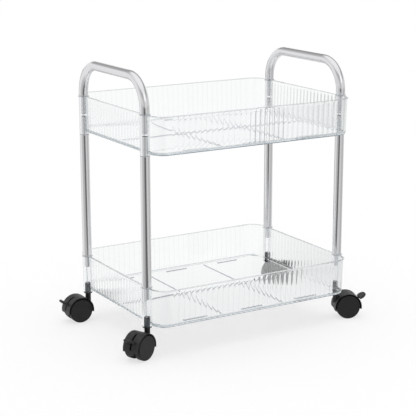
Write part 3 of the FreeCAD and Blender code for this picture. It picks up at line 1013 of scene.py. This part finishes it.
    def build(self) -> None:
        """Make the tray and hand it in."""
        piece = self.shell()
        self.flute(piece)
        steps = [(Cut.JOIN, self.ribs())]
        for cut, socket in ((Cut.JOIN, self.socket_solid), (Cut.TAKE, self.socket_bore)):
            for corner in Corner:
                form = socket()
                form.transform(Matrix.Translation(corner.axis))
                steps.append((cut, form))
        carve(piece, *steps)
        # Paint shade lines onto the marked edge faces
        mark_edges(piece, self.edge_line)
        piece.data.transform(Matrix.Translation((0, 0, self.base)))
        shade(piece, self.crease)
        hand_in(piece, CLEAR, "frame", self.node)


@dataclass
class Tube:
    """Sizes that posts and handles share."""

    radius: float = 0.0095
    wall: float = 0.0012
    edge: float = 0.0008
    spigot_radius: float = 0.0064
    spigot_long: float = 0.038
    spigot_short: float = 0.025
    spigot_chamfer: float = 0.0006
    round_steps: int = 4

    def map_turned(self, form: Form) -> None:
        """Store where each point of a turned form lies along and round its axis.

        Args:
            form: The form, with its axis on Z.
        """
        along = form.verts.layers.float.new(TubeMap.ALONG.value)
        turn = form.verts.layers.float.new(TubeMap.TURN.value)
        for vert in form.verts:
            vert[along] = vert.co.z
            vert[turn] = math.atan2(vert.co.y, vert.co.x) / math.tau


@dataclass
class Post(Tube):
    """One straight post whose ends are drawn down to spigots."""

    corner: Corner = Corner.FRONT_LEFT

    def build(self) -> None:
        """Make the post and hand it in."""
        node = f"{self.corner.value}_post"
        bottom, top = (end[2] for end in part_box(node))
        foot, head = bottom + self.spigot_short, top - self.spigot_long
        edge, spigot, steps, cut = self.edge, self.spigot_radius, self.round_steps, self.spigot_chamfer
        bore = spigot - self.wall
        profile = [(bore, bottom), (spigot - cut, bottom), (spigot, bottom + cut), (spigot, foot)]
        profile += arc((self.radius - edge, foot + edge), edge, -90, 0, steps)
        profile += arc((self.radius - edge, head - edge), edge, 0, 90, steps)
        profile += [(spigot, head), (spigot, top - cut), (spigot - cut, top), (bore, top)]
        form = turned(profile, closed=True)
        self.map_turned(form)
        form.transform(Matrix.Translation(self.corner.axis))
        piece = piece_of(f"{node}_tube", form)
        shade(piece)
        hand_in(piece, SATIN, "frame", node)


@dataclass
class Handle(Tube):
    """One end handle: a tube bent twice, with a spigot below each leg."""

    end: str = "left"
    bend: float = 0.060
    bend_steps: int = 20
    merge: float = 0.00004

    def path(self, middle: Vector, post_y: float, foot: float, top: float) -> Piece:
        """Lay out the sharp-cornered line that the tube follows.

        Args:
            middle: Point on the floor midway between the legs.
            post_y: Distance of a leg from the middle.
            foot: Height of the leg ends.
            top: Height of the bar's axis.

        Returns:
            The line, as a mesh of edges.
        """
        curve = bpy.data.curves.new("handle_path", "CURVE")
        curve.dimensions = "3D"
        path = curve.splines.new("POLY")
        stops = [(-post_y, foot), (-post_y, top), (post_y, top), (post_y, foot)]
        path.points.add(len(stops) - 1)
        for point, (along, height) in zip(path.points, stops):
            point.co = (middle.x, along, height, 1.0)
        holder = placed("handle_path", curve)
        mesh = bpy.data.meshes.new_from_object(holder)
        bpy.data.objects.remove(holder, do_unlink=True)
        return placed(f"{self.end}_handle_tube", mesh)

    def sweep(self, piece: Piece) -> None:
        """Bend a tube along a line.

        Args:
            piece: The line, which becomes the open-ended tube.
        """
        sheet = GeometrySheet("bent_tube", {"Radius": self.radius, "Bend": self.bend})
        line = sheet.add("GeometryNodeMeshToCurve", {"Mesh": sheet.inputs["Geometry"]}).outputs[0]
        inputs = {"Curve": line, "Radius": sheet.inputs["Bend"], "Count": self.bend_steps}
        bent = sheet.add("GeometryNodeFilletCurve", inputs, mode="POLY").outputs[0]
        inputs = {"Resolution": TURN_STEPS, "Radius": sheet.inputs["Radius"]}
        ring = sheet.add("GeometryNodeCurvePrimitiveCircle", inputs, mode="RADIUS").outputs["Curve"]
        kind = {"data_type": "FLOAT", "domain": "POINT"}
        marked = []
        for mark, source, output in ((TubeMap.ALONG, bent, "Length"), (TubeMap.TURN, ring, "Factor")):
            spline = sheet.add("GeometryNodeSplineParameter").outputs[output]
            inputs = {"Geometry": source, "Name": mark.value, "Value": spline}
            marked.append(sheet.add("GeometryNodeStoreNamedAttribute", inputs, **kind).outputs[0])
        inputs = {"Curve": marked[0], "Profile Curve": marked[1]}
        sheet.finish(sheet.add("GeometryNodeCurveToMesh", inputs).outputs[0])
        sheet.apply(piece, SATIN.material())

    def leg_end(self, low: float, foot: float) -> Form:
        """Turn the end of a leg, from the spigot to the round shoulder.

        Args:
            low: Height of the spigot's end.
            foot: Height of the shoulder's lower face.

        Returns:
            The form, open at its top.
        """
        spigot, edge, cut = self.spigot_radius, self.edge, self.spigot_chamfer
        profile = [(0.0, low), (spigot - cut, low), (spigot, low + cut), (spigot, foot)]
        profile += arc((self.radius - edge, foot + edge), edge, -90, 0, self.round_steps)
        form = turned(profile)
        self.map_turned(form)
        return form

    def build(self) -> None:
        """Make the handle and hand it in."""
        node = f"{self.end}_handle"
        low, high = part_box(node)
        middle = floor_middle(low, high)
        post_y = (high[1] - low[1]) / 2 - self.radius
        foot, top = low[2] + self.spigot_long, high[2] - self.radius
        piece = self.path(middle, post_y, foot + self.edge, top)
        self.sweep(piece)
        form = bmesh.new()
        form.from_mesh(piece.data)
        ends = []
        for place in (-post_y, post_y):
            end = self.leg_end(low[2], foot)
            end.transform(Matrix.Translation(middle + Vector((0.0, place, 0.0))))
            ends.append(end)
        form = joined(form, *ends)
        bmesh.ops.remove_doubles(form, verts=form.verts, dist=self.merge)
        bmesh.ops.recalc_face_normals(form, faces=form.faces)
        form.to_mesh(piece.data)
        form.free()
        shade(piece)
        hand_in(piece, SATIN, "frame", node)


@dataclass
class Caster:
    """One braked twin-wheel caster, made with its stem at the origin and its trailing side to +X."""

    corner: Corner
    height: float = 0.060
    trail: float = 0.0245
    wheel_radius: float = 0.0254
    wheel_width: float = 0.0126
    wheel_rim: float = 0.0018
    wheel_disc: float = 0.0024
    wheel_hub: float = 0.006
    wheel_edge: float = 0.0012
    wheel_shoulder: float = 0.0024
    wheel_inner_face: float = 0.0064
    hood_gap: float = 0.0008
    hood_wall: float = 0.0028
    hood_skirt: float = 10.0
    hood_edge: float = 0.0006
    hood_bevel: float = 0.0020
    hood_steps: int = 60
    # Threshold for the faces that get the painted shadow in the wheel gap
    seam_look: float = 0.3
    web_foot: float = 0.012
    neck_radius: float = 0.0058
    neck_length: float = 0.024
    neck_chamfer: float = 0.0006
    swivel_gap: float = 0.0003
    stem_radius: float = 0.0035
    stem_depth: float = 0.021
    sleeve_radius: float = 0.0064
    sleeve_length: float = 0.020
    sleeve_chamfer: float = 0.0008
    washer_radius: float = 0.009
    washer_thickness: float = 0.002
    washer_edge: float = 0.0005
    axle_radius: float = 0.003
    running_gap: float = 0.00005
    pivot_inset: float = 0.0082
    pivot_angle: float = 35.0
    pivot_radius: float = 0.0015
    shoe_reach: float = 0.0081
    shoe_angle: float = 99.0
    shoe_radius: float = 0.0015
    shoe_overlap: float = 0.006
    shoe_window: float = 0.0043
    lever_half: float = 0.0018
    lever_thick: float = 0.0022
    slot_gap: float = 0.0004
    slot_low: float = 1.0
    slot_high: float = 74.0
    slot_floor: float = 0.009
    pedal_angle: float = 31.0
    pedal_gap: float = 0.0034
    pedal_reach: float = 0.0130
    pedal_width: float = 0.023
    pedal_half: float = 0.0021
    pedal_tip: float = 0.0026
    pedal_corner: float = 0.009
    round_steps: int = 4

    def name(self, piece: str) -> str:
        """Give a node's name at this corner."""
        return f"{self.corner.value}_{piece}"

    def round_axle(self, radius: float, angle: float) -> tuple[float, float]:
        """Give the X and Z of a point at a distance and an angle, in degrees, round the axle."""
        turn = math.radians(angle)
        return self.trail + radius * math.cos(turn), self.wheel_radius + radius * math.sin(turn)

    @property
    def axle(self) -> tuple[float, float]:
        """Give the X and Z of the axle."""
        return self.trail, self.wheel_radius

    @property
    def hood_inner(self) -> float:
        """Give the radius inside the hood."""
        return self.wheel_radius + self.hood_gap

    @property
    def outer_face(self) -> float:
        """Give the distance of a wheel's plain face from the caster's middle."""
        return self.wheel_inner_face + self.wheel_width

    @property
    def pivot(self) -> tuple[float, float]:
        """Give the X and Z of the lever's pin."""
        return self.round_axle(self.wheel_radius - self.wheel_rim - self.pivot_inset, self.pivot_angle)

    @property
    def shoe(self) -> tuple[float, float]:
        """Give the X and Z of the brake shoe."""
        (x, z), turn = self.pivot, math.radians(self.shoe_angle)
        return x + self.shoe_reach * math.cos(turn), z + self.shoe_reach * math.sin(turn)

    def cross_bar(self, spot: tuple[float, float], radius: float, half: float) -> Form:
        """Turn a round bar that lies along the axle's direction.

        Args:
            spot: X and Z of its middle.
            radius: Radius of the bar.
            half: How far it reaches to each side.

        Returns:
            The closed form.
        """
        form = rod(radius, -half, half)
        turn = Matrix.Rotation(math.pi / 2, 4, "X")
        form.transform(Matrix.Translation((spot[0], 0.0, spot[1])) @ turn)
        return form

    def hood(self) -> Form:
        """Sweep the hood's thin section, with soft side edges, round the wheels.

        Returns:
            The closed form.
        """
        half, soft, inner = self.outer_face, self.hood_edge, self.hood_inner
        outer, bevel = inner + self.hood_wall, self.hood_bevel
        section = [(-half, inner + bevel), (bevel - half, inner)]
        section += [(half - bevel, inner), (half, inner + bevel)]
        section += arc((half - soft, outer - soft), soft, 0, 90, self.round_steps)
        section += arc((-half + soft, outer - soft), soft, 90, 180, self.round_steps)
        form = bmesh.new()
        rings = []
        sweep = 180.0 + self.hood_skirt * 2
        for i in range(self.hood_steps + 1):
            angle = -self.hood_skirt + sweep * i / self.hood_steps
            ring = []
            for across, radius in section:
                x, z = self.round_axle(radius, angle)
                ring.append(form.verts.new((x, across, z)))
            rings.append(ring)
        for first, second in zip(rings, rings[1:]):
            for i in range(len(section)):
                j = (i + 1) % len(section)
                form.faces.new((first[i], second[i], second[j], first[j]))
        form.faces.new(rings[0])
        form.faces.new(list(reversed(rings[-1])))
        bmesh.ops.recalc_face_normals(form, faces=form.faces)
        return form

    def web(self) -> Form:
        """Raise the web between the wheels.

        Returns:
            The closed form.
        """
        radius = self.hood_inner + self.hood_wall / 2
        drop = math.degrees(math.asin(self.web_foot / radius))
        return prism(arc(self.axle, radius, -drop, 180 + drop, self.hood_steps), self.neck_radius)

    def lever_slot(self) -> Form:
        """Raise the shape of the slot that the lever moves in.

        Returns:
            The closed form.
        """
        outer, low, high = self.hood_inner + self.hood_wall * 2, self.slot_low, self.slot_high
        outline = arc(self.axle, outer, low, high, self.hood_steps)
        outline += arc(self.axle, self.slot_floor, high, low, self.hood_steps)
        return prism(outline, self.lever_half + self.slot_gap)

    def build_housing(self) -> Piece:
        """Mould the hood, the web and the neck as one, with its slot and bores.

        Returns:
            The housing.
        """
        top = self.height - self.washer_thickness - self.swivel_gap
        low, cut, radius = top - self.neck_length, self.neck_chamfer, self.neck_radius
        neck = turned([(0.0, low), (radius, low), (radius, top - cut), (radius - cut, top), (0.0, top)])
        past = self.washer_thickness
        bore = rod(self.stem_radius + self.running_gap, top - self.stem_depth, top + past)
        wide = self.neck_radius + past
        piece = piece_of(self.name("housing_moulding"), self.hood())
        carve(
            piece,
            (Cut.JOIN, self.web()),
            (Cut.JOIN, neck),
            (Cut.TAKE, bore),
            (Cut.TAKE, self.lever_slot()),
            (Cut.TAKE, self.cross_bar(self.axle, self.axle_radius, wide)),
            (Cut.TAKE, self.cross_bar(self.pivot, self.pivot_radius, wide)),
            (Cut.TAKE, self.cross_bar(self.shoe, self.shoe_window, wide)),
        )
        # Paint a shadow onto the hood's side edges round the wheel discs
        mark_edges(piece, self.seam_line)
        return piece

    def seam_line(self, spot: Vector, normal: Vector) -> float:
        """Find the hood's side edges, which get a painted shadow for the gap round each wheel's disc.

        Args:
            spot: Middle of a face of the housing.
            normal: Direction that the face looks in.

        Returns:
            1 on the side edges, 0 elsewhere.
        """
        away = (spot - Vector((self.trail, 0.0, self.wheel_radius))) * Vector((1.0, 0.0, 1.0))
        sideways = abs(spot.y) > self.outer_face - self.hood_bevel and away.length > self.hood_inner
        return float(sideways and normal.dot(away.normalized()) < self.seam_look)

    def pedal(self, root: Vector, out: Vector) -> Form:
        """Shape the pedal: a plate with a beaded tip and rounded corners.

        Args:
            root: X and Z of its inner end.
            out: Direction towards its tip, in X and Z.

        Returns:
            The closed form.
        """
        tip, thin, steps = root + out * self.pedal_reach, self.pedal_half, self.round_steps * 2
        start, corner = self.pedal_angle - 90, self.pedal_corner
        rounded = arc((self.pedal_width / 2 - corner, 0.0), corner, 90, 0, steps)
        plates = []
        for across, onward in [(-x, y) for x, y in reversed(rounded)] + rounded:
            bead = tip - out * (self.pedal_tip - thin + corner - onward)
            plate = arc(tuple(bead), self.pedal_tip, start, start + 180, steps)
            plate += arc(tuple(root), thin, start + 180, start + 360, steps)
            plates.append((across, plate))
        return lofted(plates)

    def build_lever(self) -> Piece:
        """Mould the lever: pedal, arm, hub, crank and brake shoe.

        Returns:
            The lever.
        """
        pedal_turn, crank_turn = math.radians(self.pedal_angle), math.radians(self.shoe_angle)
        out = Vector((math.cos(pedal_turn), math.sin(pedal_turn)))
        side = Vector((out.y, -out.x))
        flank = Vector((math.sin(crank_turn), -math.cos(crank_turn)))
        pivot, shoe = Vector(self.pivot), Vector(self.shoe)
        reach = self.hood_inner + self.hood_wall + self.pedal_gap
        root = Vector(self.round_axle(reach, self.pedal_angle))
        bore = self.pivot_radius + self.running_gap
        half, thick, thin, tip = self.lever_half, self.lever_thick, self.pedal_half, self.shoe_radius
        end = root + out * thick
        arm = [pivot + side * thick, end + side * thin, end - side * thin, pivot - side * thick]
        crank = [pivot + flank * thick, shoe + flank * tip, shoe - flank * tip, pivot - flank * thick]
        piece = piece_of(self.name("brake_lever_moulding"), self.pedal(root, out))
        carve(
            piece,
            (Cut.JOIN, prism([tuple(point) for point in arm], half)),
            (Cut.JOIN, self.cross_bar(self.pivot, self.pivot_radius + thick, half)),
            (Cut.JOIN, prism([tuple(point) for point in crank], half)),
            (Cut.JOIN, self.cross_bar(self.shoe, tip, self.wheel_inner_face + self.shoe_overlap)),
            (Cut.TAKE, self.cross_bar(self.pivot, bore, self.outer_face)),
        )
        return piece

    def build_wheel(self, side: Side) -> Piece:
        """Turn one cup-shaped wheel with its plain disc outwards.

        Args:
            side: Side of the caster that the wheel runs on.

        Returns:
            The wheel.
        """
        face_in, face_out = self.wheel_inner_face, self.outer_face
        back, hub = face_out - self.wheel_disc, self.wheel_hub
        radius, rim = self.wheel_radius, self.wheel_radius - self.wheel_rim
        bore = self.axle_radius + self.running_gap
        soft, shoulder, steps = self.wheel_edge, self.wheel_shoulder, self.round_steps
        profile = [(0.0, back), (bore, back), (bore, face_in), (hub, face_in), (hub, back)]
        profile += [(rim, back), (rim, face_in)]
        profile += arc((radius - soft, face_in + soft), soft, -90, 0, steps)
        profile += arc((radius - shoulder, face_out - shoulder), shoulder, 0, 90, steps * 2)
        profile.append((0.0, face_out))
        form = turned(profile, steps=TURN_STEPS * 2)
        turn = Matrix.Rotation(-math.pi / 2 * side.value, 4, "X")
        form.transform(Matrix.Translation((self.trail, 0.0, self.wheel_radius)) @ turn)
        return piece_of(self.name(f"{side.word}_wheel_turned"), form)

    def build_sleeve(self) -> Piece:
        """Turn the grip sleeve round the stem.

        Returns:
            The sleeve.
        """
        low, high = self.height, self.height + self.sleeve_length
        bore, outer, cut = self.stem_radius, self.sleeve_radius, self.sleeve_chamfer
        profile = [(bore, low), (outer, low), (outer, high - cut), (outer - cut, high), (bore, high)]
        return piece_of(self.name("stem_sleeve_turned"), turned(profile, closed=True))

    def build_washer(self) -> Piece:
        """Turn the thrust washer.

        Returns:
            The washer.
        """
        low, high, soft = self.height - self.washer_thickness, self.height, self.washer_edge
        bore, outer, steps = self.stem_radius, self.washer_radius, self.round_steps
        profile = [(bore, low)]
        profile += arc((outer - soft, low + soft), soft, -90, 0, steps)
        profile += arc((outer - soft, high - soft), soft, 0, 90, steps)
        profile.append((bore, high))
        return piece_of(self.name("washer_turned"), turned(profile, closed=True))

    def build(self) -> None:
        """Make the caster's pieces, set them under their socket and hand them in."""
        made = [
            (self.build_sleeve(), GREY, "frame", "stem_sleeve"),
            (self.build_washer(), BLACK, "frame", "washer"),
            (self.build_housing(), BLACK, self.name("swivel"), "housing"),
            (self.build_lever(), BLACK, self.name("brake"), "brake_lever"),
        ]
        for side in Side:
            body, node = self.name(f"roll_{side.word}"), f"{side.word}_wheel"
            made.append((self.build_wheel(side), WHEEL, body, node))
        for piece, finish, body, node in made:
            piece.data.transform(self.corner.caster_place)
            shade(piece)
            hand_in(piece, finish, body, self.name(node))
        for node in ("stem", "axle", "brake_pin"):
            keep_node(self.name(node), STEEL)


@dataclass
class Studio:
    """Camera, floor and soft light.

    Each table of levels gives how bright the studio looks at so many degrees from the camera's side.
    A tube mirrors a dark front and pale sides. What shows through clear plastic is paler, with a grey
    card far behind the right end.
    """

    eye: tuple[float, float, float] = (-1.3678, -2.2483, 0.8918)
    yaw: float = 31.123
    pitch: float = -13.884
    lens: float = 111.93
    floor_half: float = 60.0
    floor_colour: Colour = (0.80, 0.80, 0.80)
    floor_glow: float = 0.70
    through_glow: float = 0.92
    sky: float = 1.0
    dome_low: float = 0.20
    dome_rise: float = 2.4
    dome_power: float = 4.0
    sweep: tuple[float, float] = (0.22, 0.45)
    card: tuple[float, float] = (0.70, 1.20)
    middle_rise: tuple[float, float] = (0.24, 0.42)
    top_rise: tuple[float, float] = (0.60, 0.80)
    boss_share: float = 0.5
    bounces: int = 200
    low_levels: Levels = (
        (-180, 1.0), (-155, 0.97), (-120, 0.95), (-85, 0.95), (-60, 0.84), (-26, 0.78), (-10, 0.60),
        (0, 0.56), (10, 0.60), (22, 0.84), (50, 0.84), (88, 0.76), (120, 0.80), (142, 0.80),
        (156, 0.86), (169, 0.99), (180, 1.0),
    )
    card_levels: Levels = ((-180, 1.0), (150, 1.0), (157, 0.72), (165, 0.60), (170, 1.0), (180, 1.0))
    tube_levels: Levels = (
        (-180, 0.85), (-162, 0.50), (-138, 0.52), (-122, 0.93), (-85, 0.95), (-60, 0.62), (-30, 0.55),
        (-14, 0.22), (0, 0.12), (12, 0.15), (24, 0.75), (50, 0.72), (88, 0.50), (115, 0.75), (150, 0.90),
        (180, 0.85),
    )
    middle_levels: Levels = (
        (-180, 0.32), (-165, 0.34), (-150, 0.40), (-133, 0.52), (-110, 0.80), (-80, 0.85), (-55, 0.60),
        (-30, 0.50), (0, 0.55), (14, 0.85), (30, 1.40), (46, 1.25), (62, 0.90), (82, 0.50), (120, 0.38),
        (180, 0.32),
    )

    def camera(self) -> None:
        """Set up the camera at the photograph's place."""
        lens = bpy.data.cameras.new("camera")
        lens.lens = self.lens
        camera = placed("camera", lens)
        camera.location = self.eye
        camera.rotation_euler = (math.radians(90 + self.pitch), 0.0, -math.radians(self.yaw))
        bpy.context.scene.camera = camera

    def studio_level(self, sheet: Sheet, direction: Socket, levels: Levels) -> Socket:
        """Look up how bright the studio is in a level direction.

        Args:
            sheet: Sheet of the floor or the world.
            direction: Direction from the trolley.
            levels: Degrees from the camera's side, and the level there.

        Returns:
            The level.
        """
        turn = math.radians(self.yaw)
        towards = (-math.sin(turn), -math.cos(turn), 0.0)
        right = (math.cos(turn), -math.sin(turn), 0.0)
        parts = []
        for axis in (right, towards):
            node = sheet.add("ShaderNodeVectorMath", {0: direction, 1: axis}, operation="DOT_PRODUCT")
            parts.append(node.outputs["Value"])
        angle = sheet.maths("ARCTAN2", *parts)
        share = sheet.maths("MULTIPLY_ADD", angle, 1 / math.tau, 0.5)
        ramp = sheet.add("ShaderNodeValToRGB", {"Fac": share})
        stops = ramp.color_ramp.elements
        while len(stops) < len(levels):
            stops.new(1.0)
        for stop, (degrees, level) in zip(stops, levels):
            stop.position = degrees / 360 + 0.5
            stop.color = (level, level, level, 1.0)
        return ramp.outputs["Color"]

    @staticmethod
    def rays(sheet: Sheet) -> tuple[Socket, Socket, Socket, Socket]:
        """Tell the kinds of rays apart.

        Args:
            sheet: Sheet of the floor or the world.

        Returns:
            1 for rays straight from the camera, for mirrored rays, for rays through clear plastic, and
            for rays that any face has mirrored on their way, as a tube inside a clear socket does.
        """
        path = sheet.add("ShaderNodeLightPath").outputs
        through = path["Is Transmission Ray"]
        mirrored = sheet.maths("MAXIMUM", sheet.maths("SUBTRACT", path["Is Glossy Ray"], through), 0.0)
        bounced = sheet.maths("MINIMUM", path["Glossy Depth"], 1.0)
        return path["Is Camera Ray"], mirrored, through, bounced

    def floor(self) -> None:
        """Lay the plain floor: white where lit, with the object's shadow.

        Far out, mirrored rays and rays through clear plastic see it at the studio's levels.
        """
        half = self.floor_half
        form = bmesh.new()
        corners = [(-half, -half), (half, -half), (half, half), (-half, half)]
        form.faces.new([form.verts.new((x, y, 0.0)) for x, y in corners])
        plane = piece_of("studio_floor", form)
        material = bpy.data.materials.new("studio_floor")
        sheet = blank_sheet(material)
        material.cycles.emission_sampling = "NONE"
        straight, mirrored, through, bounced = self.rays(sheet)
        inside = sheet.maths("MULTIPLY", through, sheet.maths("MULTIPLY", bounced, self.boss_share))
        clear = sheet.maths("SUBTRACT", through, inside)
        place = sheet.place()
        away = sheet.add("ShaderNodeVectorMath", {0: place}, operation="LENGTH").outputs["Value"]
        level = 1.0
        for rays, levels, reach in (
            (sheet.maths("ADD", mirrored, inside), self.tube_levels, self.sweep),
            (clear, self.low_levels, self.sweep),
            (clear, self.card_levels, self.card),
        ):
            share = sheet.maths("MULTIPLY", rays, sheet.ease(away, *reach))
            part = sheet.mix(share, 1.0, self.studio_level(sheet, place, levels))
            level = sheet.maths("MULTIPLY", level, part)
        plain = sheet.add("ShaderNodeBsdfDiffuse", {"Color": (*self.floor_colour, 1.0)}).outputs[0]
        share = sheet.spread(through, self.floor_glow, self.through_glow)
        paint = sheet.maths("MULTIPLY", level, sheet.maths("SUBTRACT", 1.0, share))
        shown = sheet.add("ShaderNodeBsdfDiffuse", {"Color": paint}).outputs[0]
        strength = sheet.maths("MULTIPLY", level, share)
        glow = sheet.add("ShaderNodeEmission", {"Strength": strength}).outputs[0]
        lit = sheet.add("ShaderNodeAddShader", {0: shown, 1: glow}).outputs[0]
        seen = sheet.maths("MAXIMUM", sheet.maths("MAXIMUM", straight, mirrored), through)
        mixed = sheet.add("ShaderNodeMixShader", {0: seen, 1: plain, 2: lit}).outputs[0]
        sheet.add("ShaderNodeOutputMaterial", {"Surface": mixed})
        plane.data.materials.append(material)

    def light(self) -> None:
        """Light the scene with a soft dome that is brightest overhead.

        Mirrored rays and rays through clear plastic see it at the studio's levels.
        """
        world = bpy.data.worlds.new("studio_dome")
        sheet = blank_sheet(world)
        straight, mirrored, through, _ = self.rays(sheet)
        direction = sheet.add("ShaderNodeTexCoord").outputs["Generated"]
        height = sheet.add("ShaderNodeSeparateXYZ", {0: direction}).outputs["Z"]
        level = self.studio_level(sheet, direction, self.low_levels)
        middle = self.studio_level(sheet, direction, self.middle_levels)
        for higher, rise in ((middle, self.middle_rise), (self.sky, self.top_rise)):
            level = sheet.mix(sheet.ease(height, *rise), level, higher)
        seen = sheet.maths("MAXIMUM", mirrored, through)
        top = sheet.maths("POWER", sheet.maths("MAXIMUM", height, 0.0), self.dome_power)
        soft = sheet.maths("MULTIPLY_ADD", top, self.dome_rise, self.dome_low)
        level = sheet.mix(straight, sheet.mix(seen, soft, level), 1.0)
        inputs = {"Color": (1.0, 1.0, 1.0, 1.0), "Strength": level}
        dome = sheet.add("ShaderNodeBackground", inputs).outputs[0]
        sheet.add("ShaderNodeOutputWorld", {"Surface": dome})
        bpy.context.scene.world = world

    def build(self) -> None:
        """Set up everything round the object."""
        scene = bpy.context.scene
        scene.view_settings.view_transform = "Standard"
        scene.cycles.max_bounces = self.bounces
        scene.cycles.glossy_bounces = self.bounces
        scene.cycles.transmission_bounces = self.bounces
        self.camera()
        self.floor()
        self.light()


def main() -> None:
    """Build the trolley's pieces in order, then the studio round them."""
    logging.basicConfig(level=logging.INFO, format="%(message)s")
    for node in ("lower_tray", "upper_tray"):
        Tray(node).build()
    for end in ("left", "right"):
        Handle(end=end).build()
    for corner in Corner:
        Post(corner=corner).build()
        Caster(corner).build()
    Studio().build()


if __name__ == "__main__":
    main()
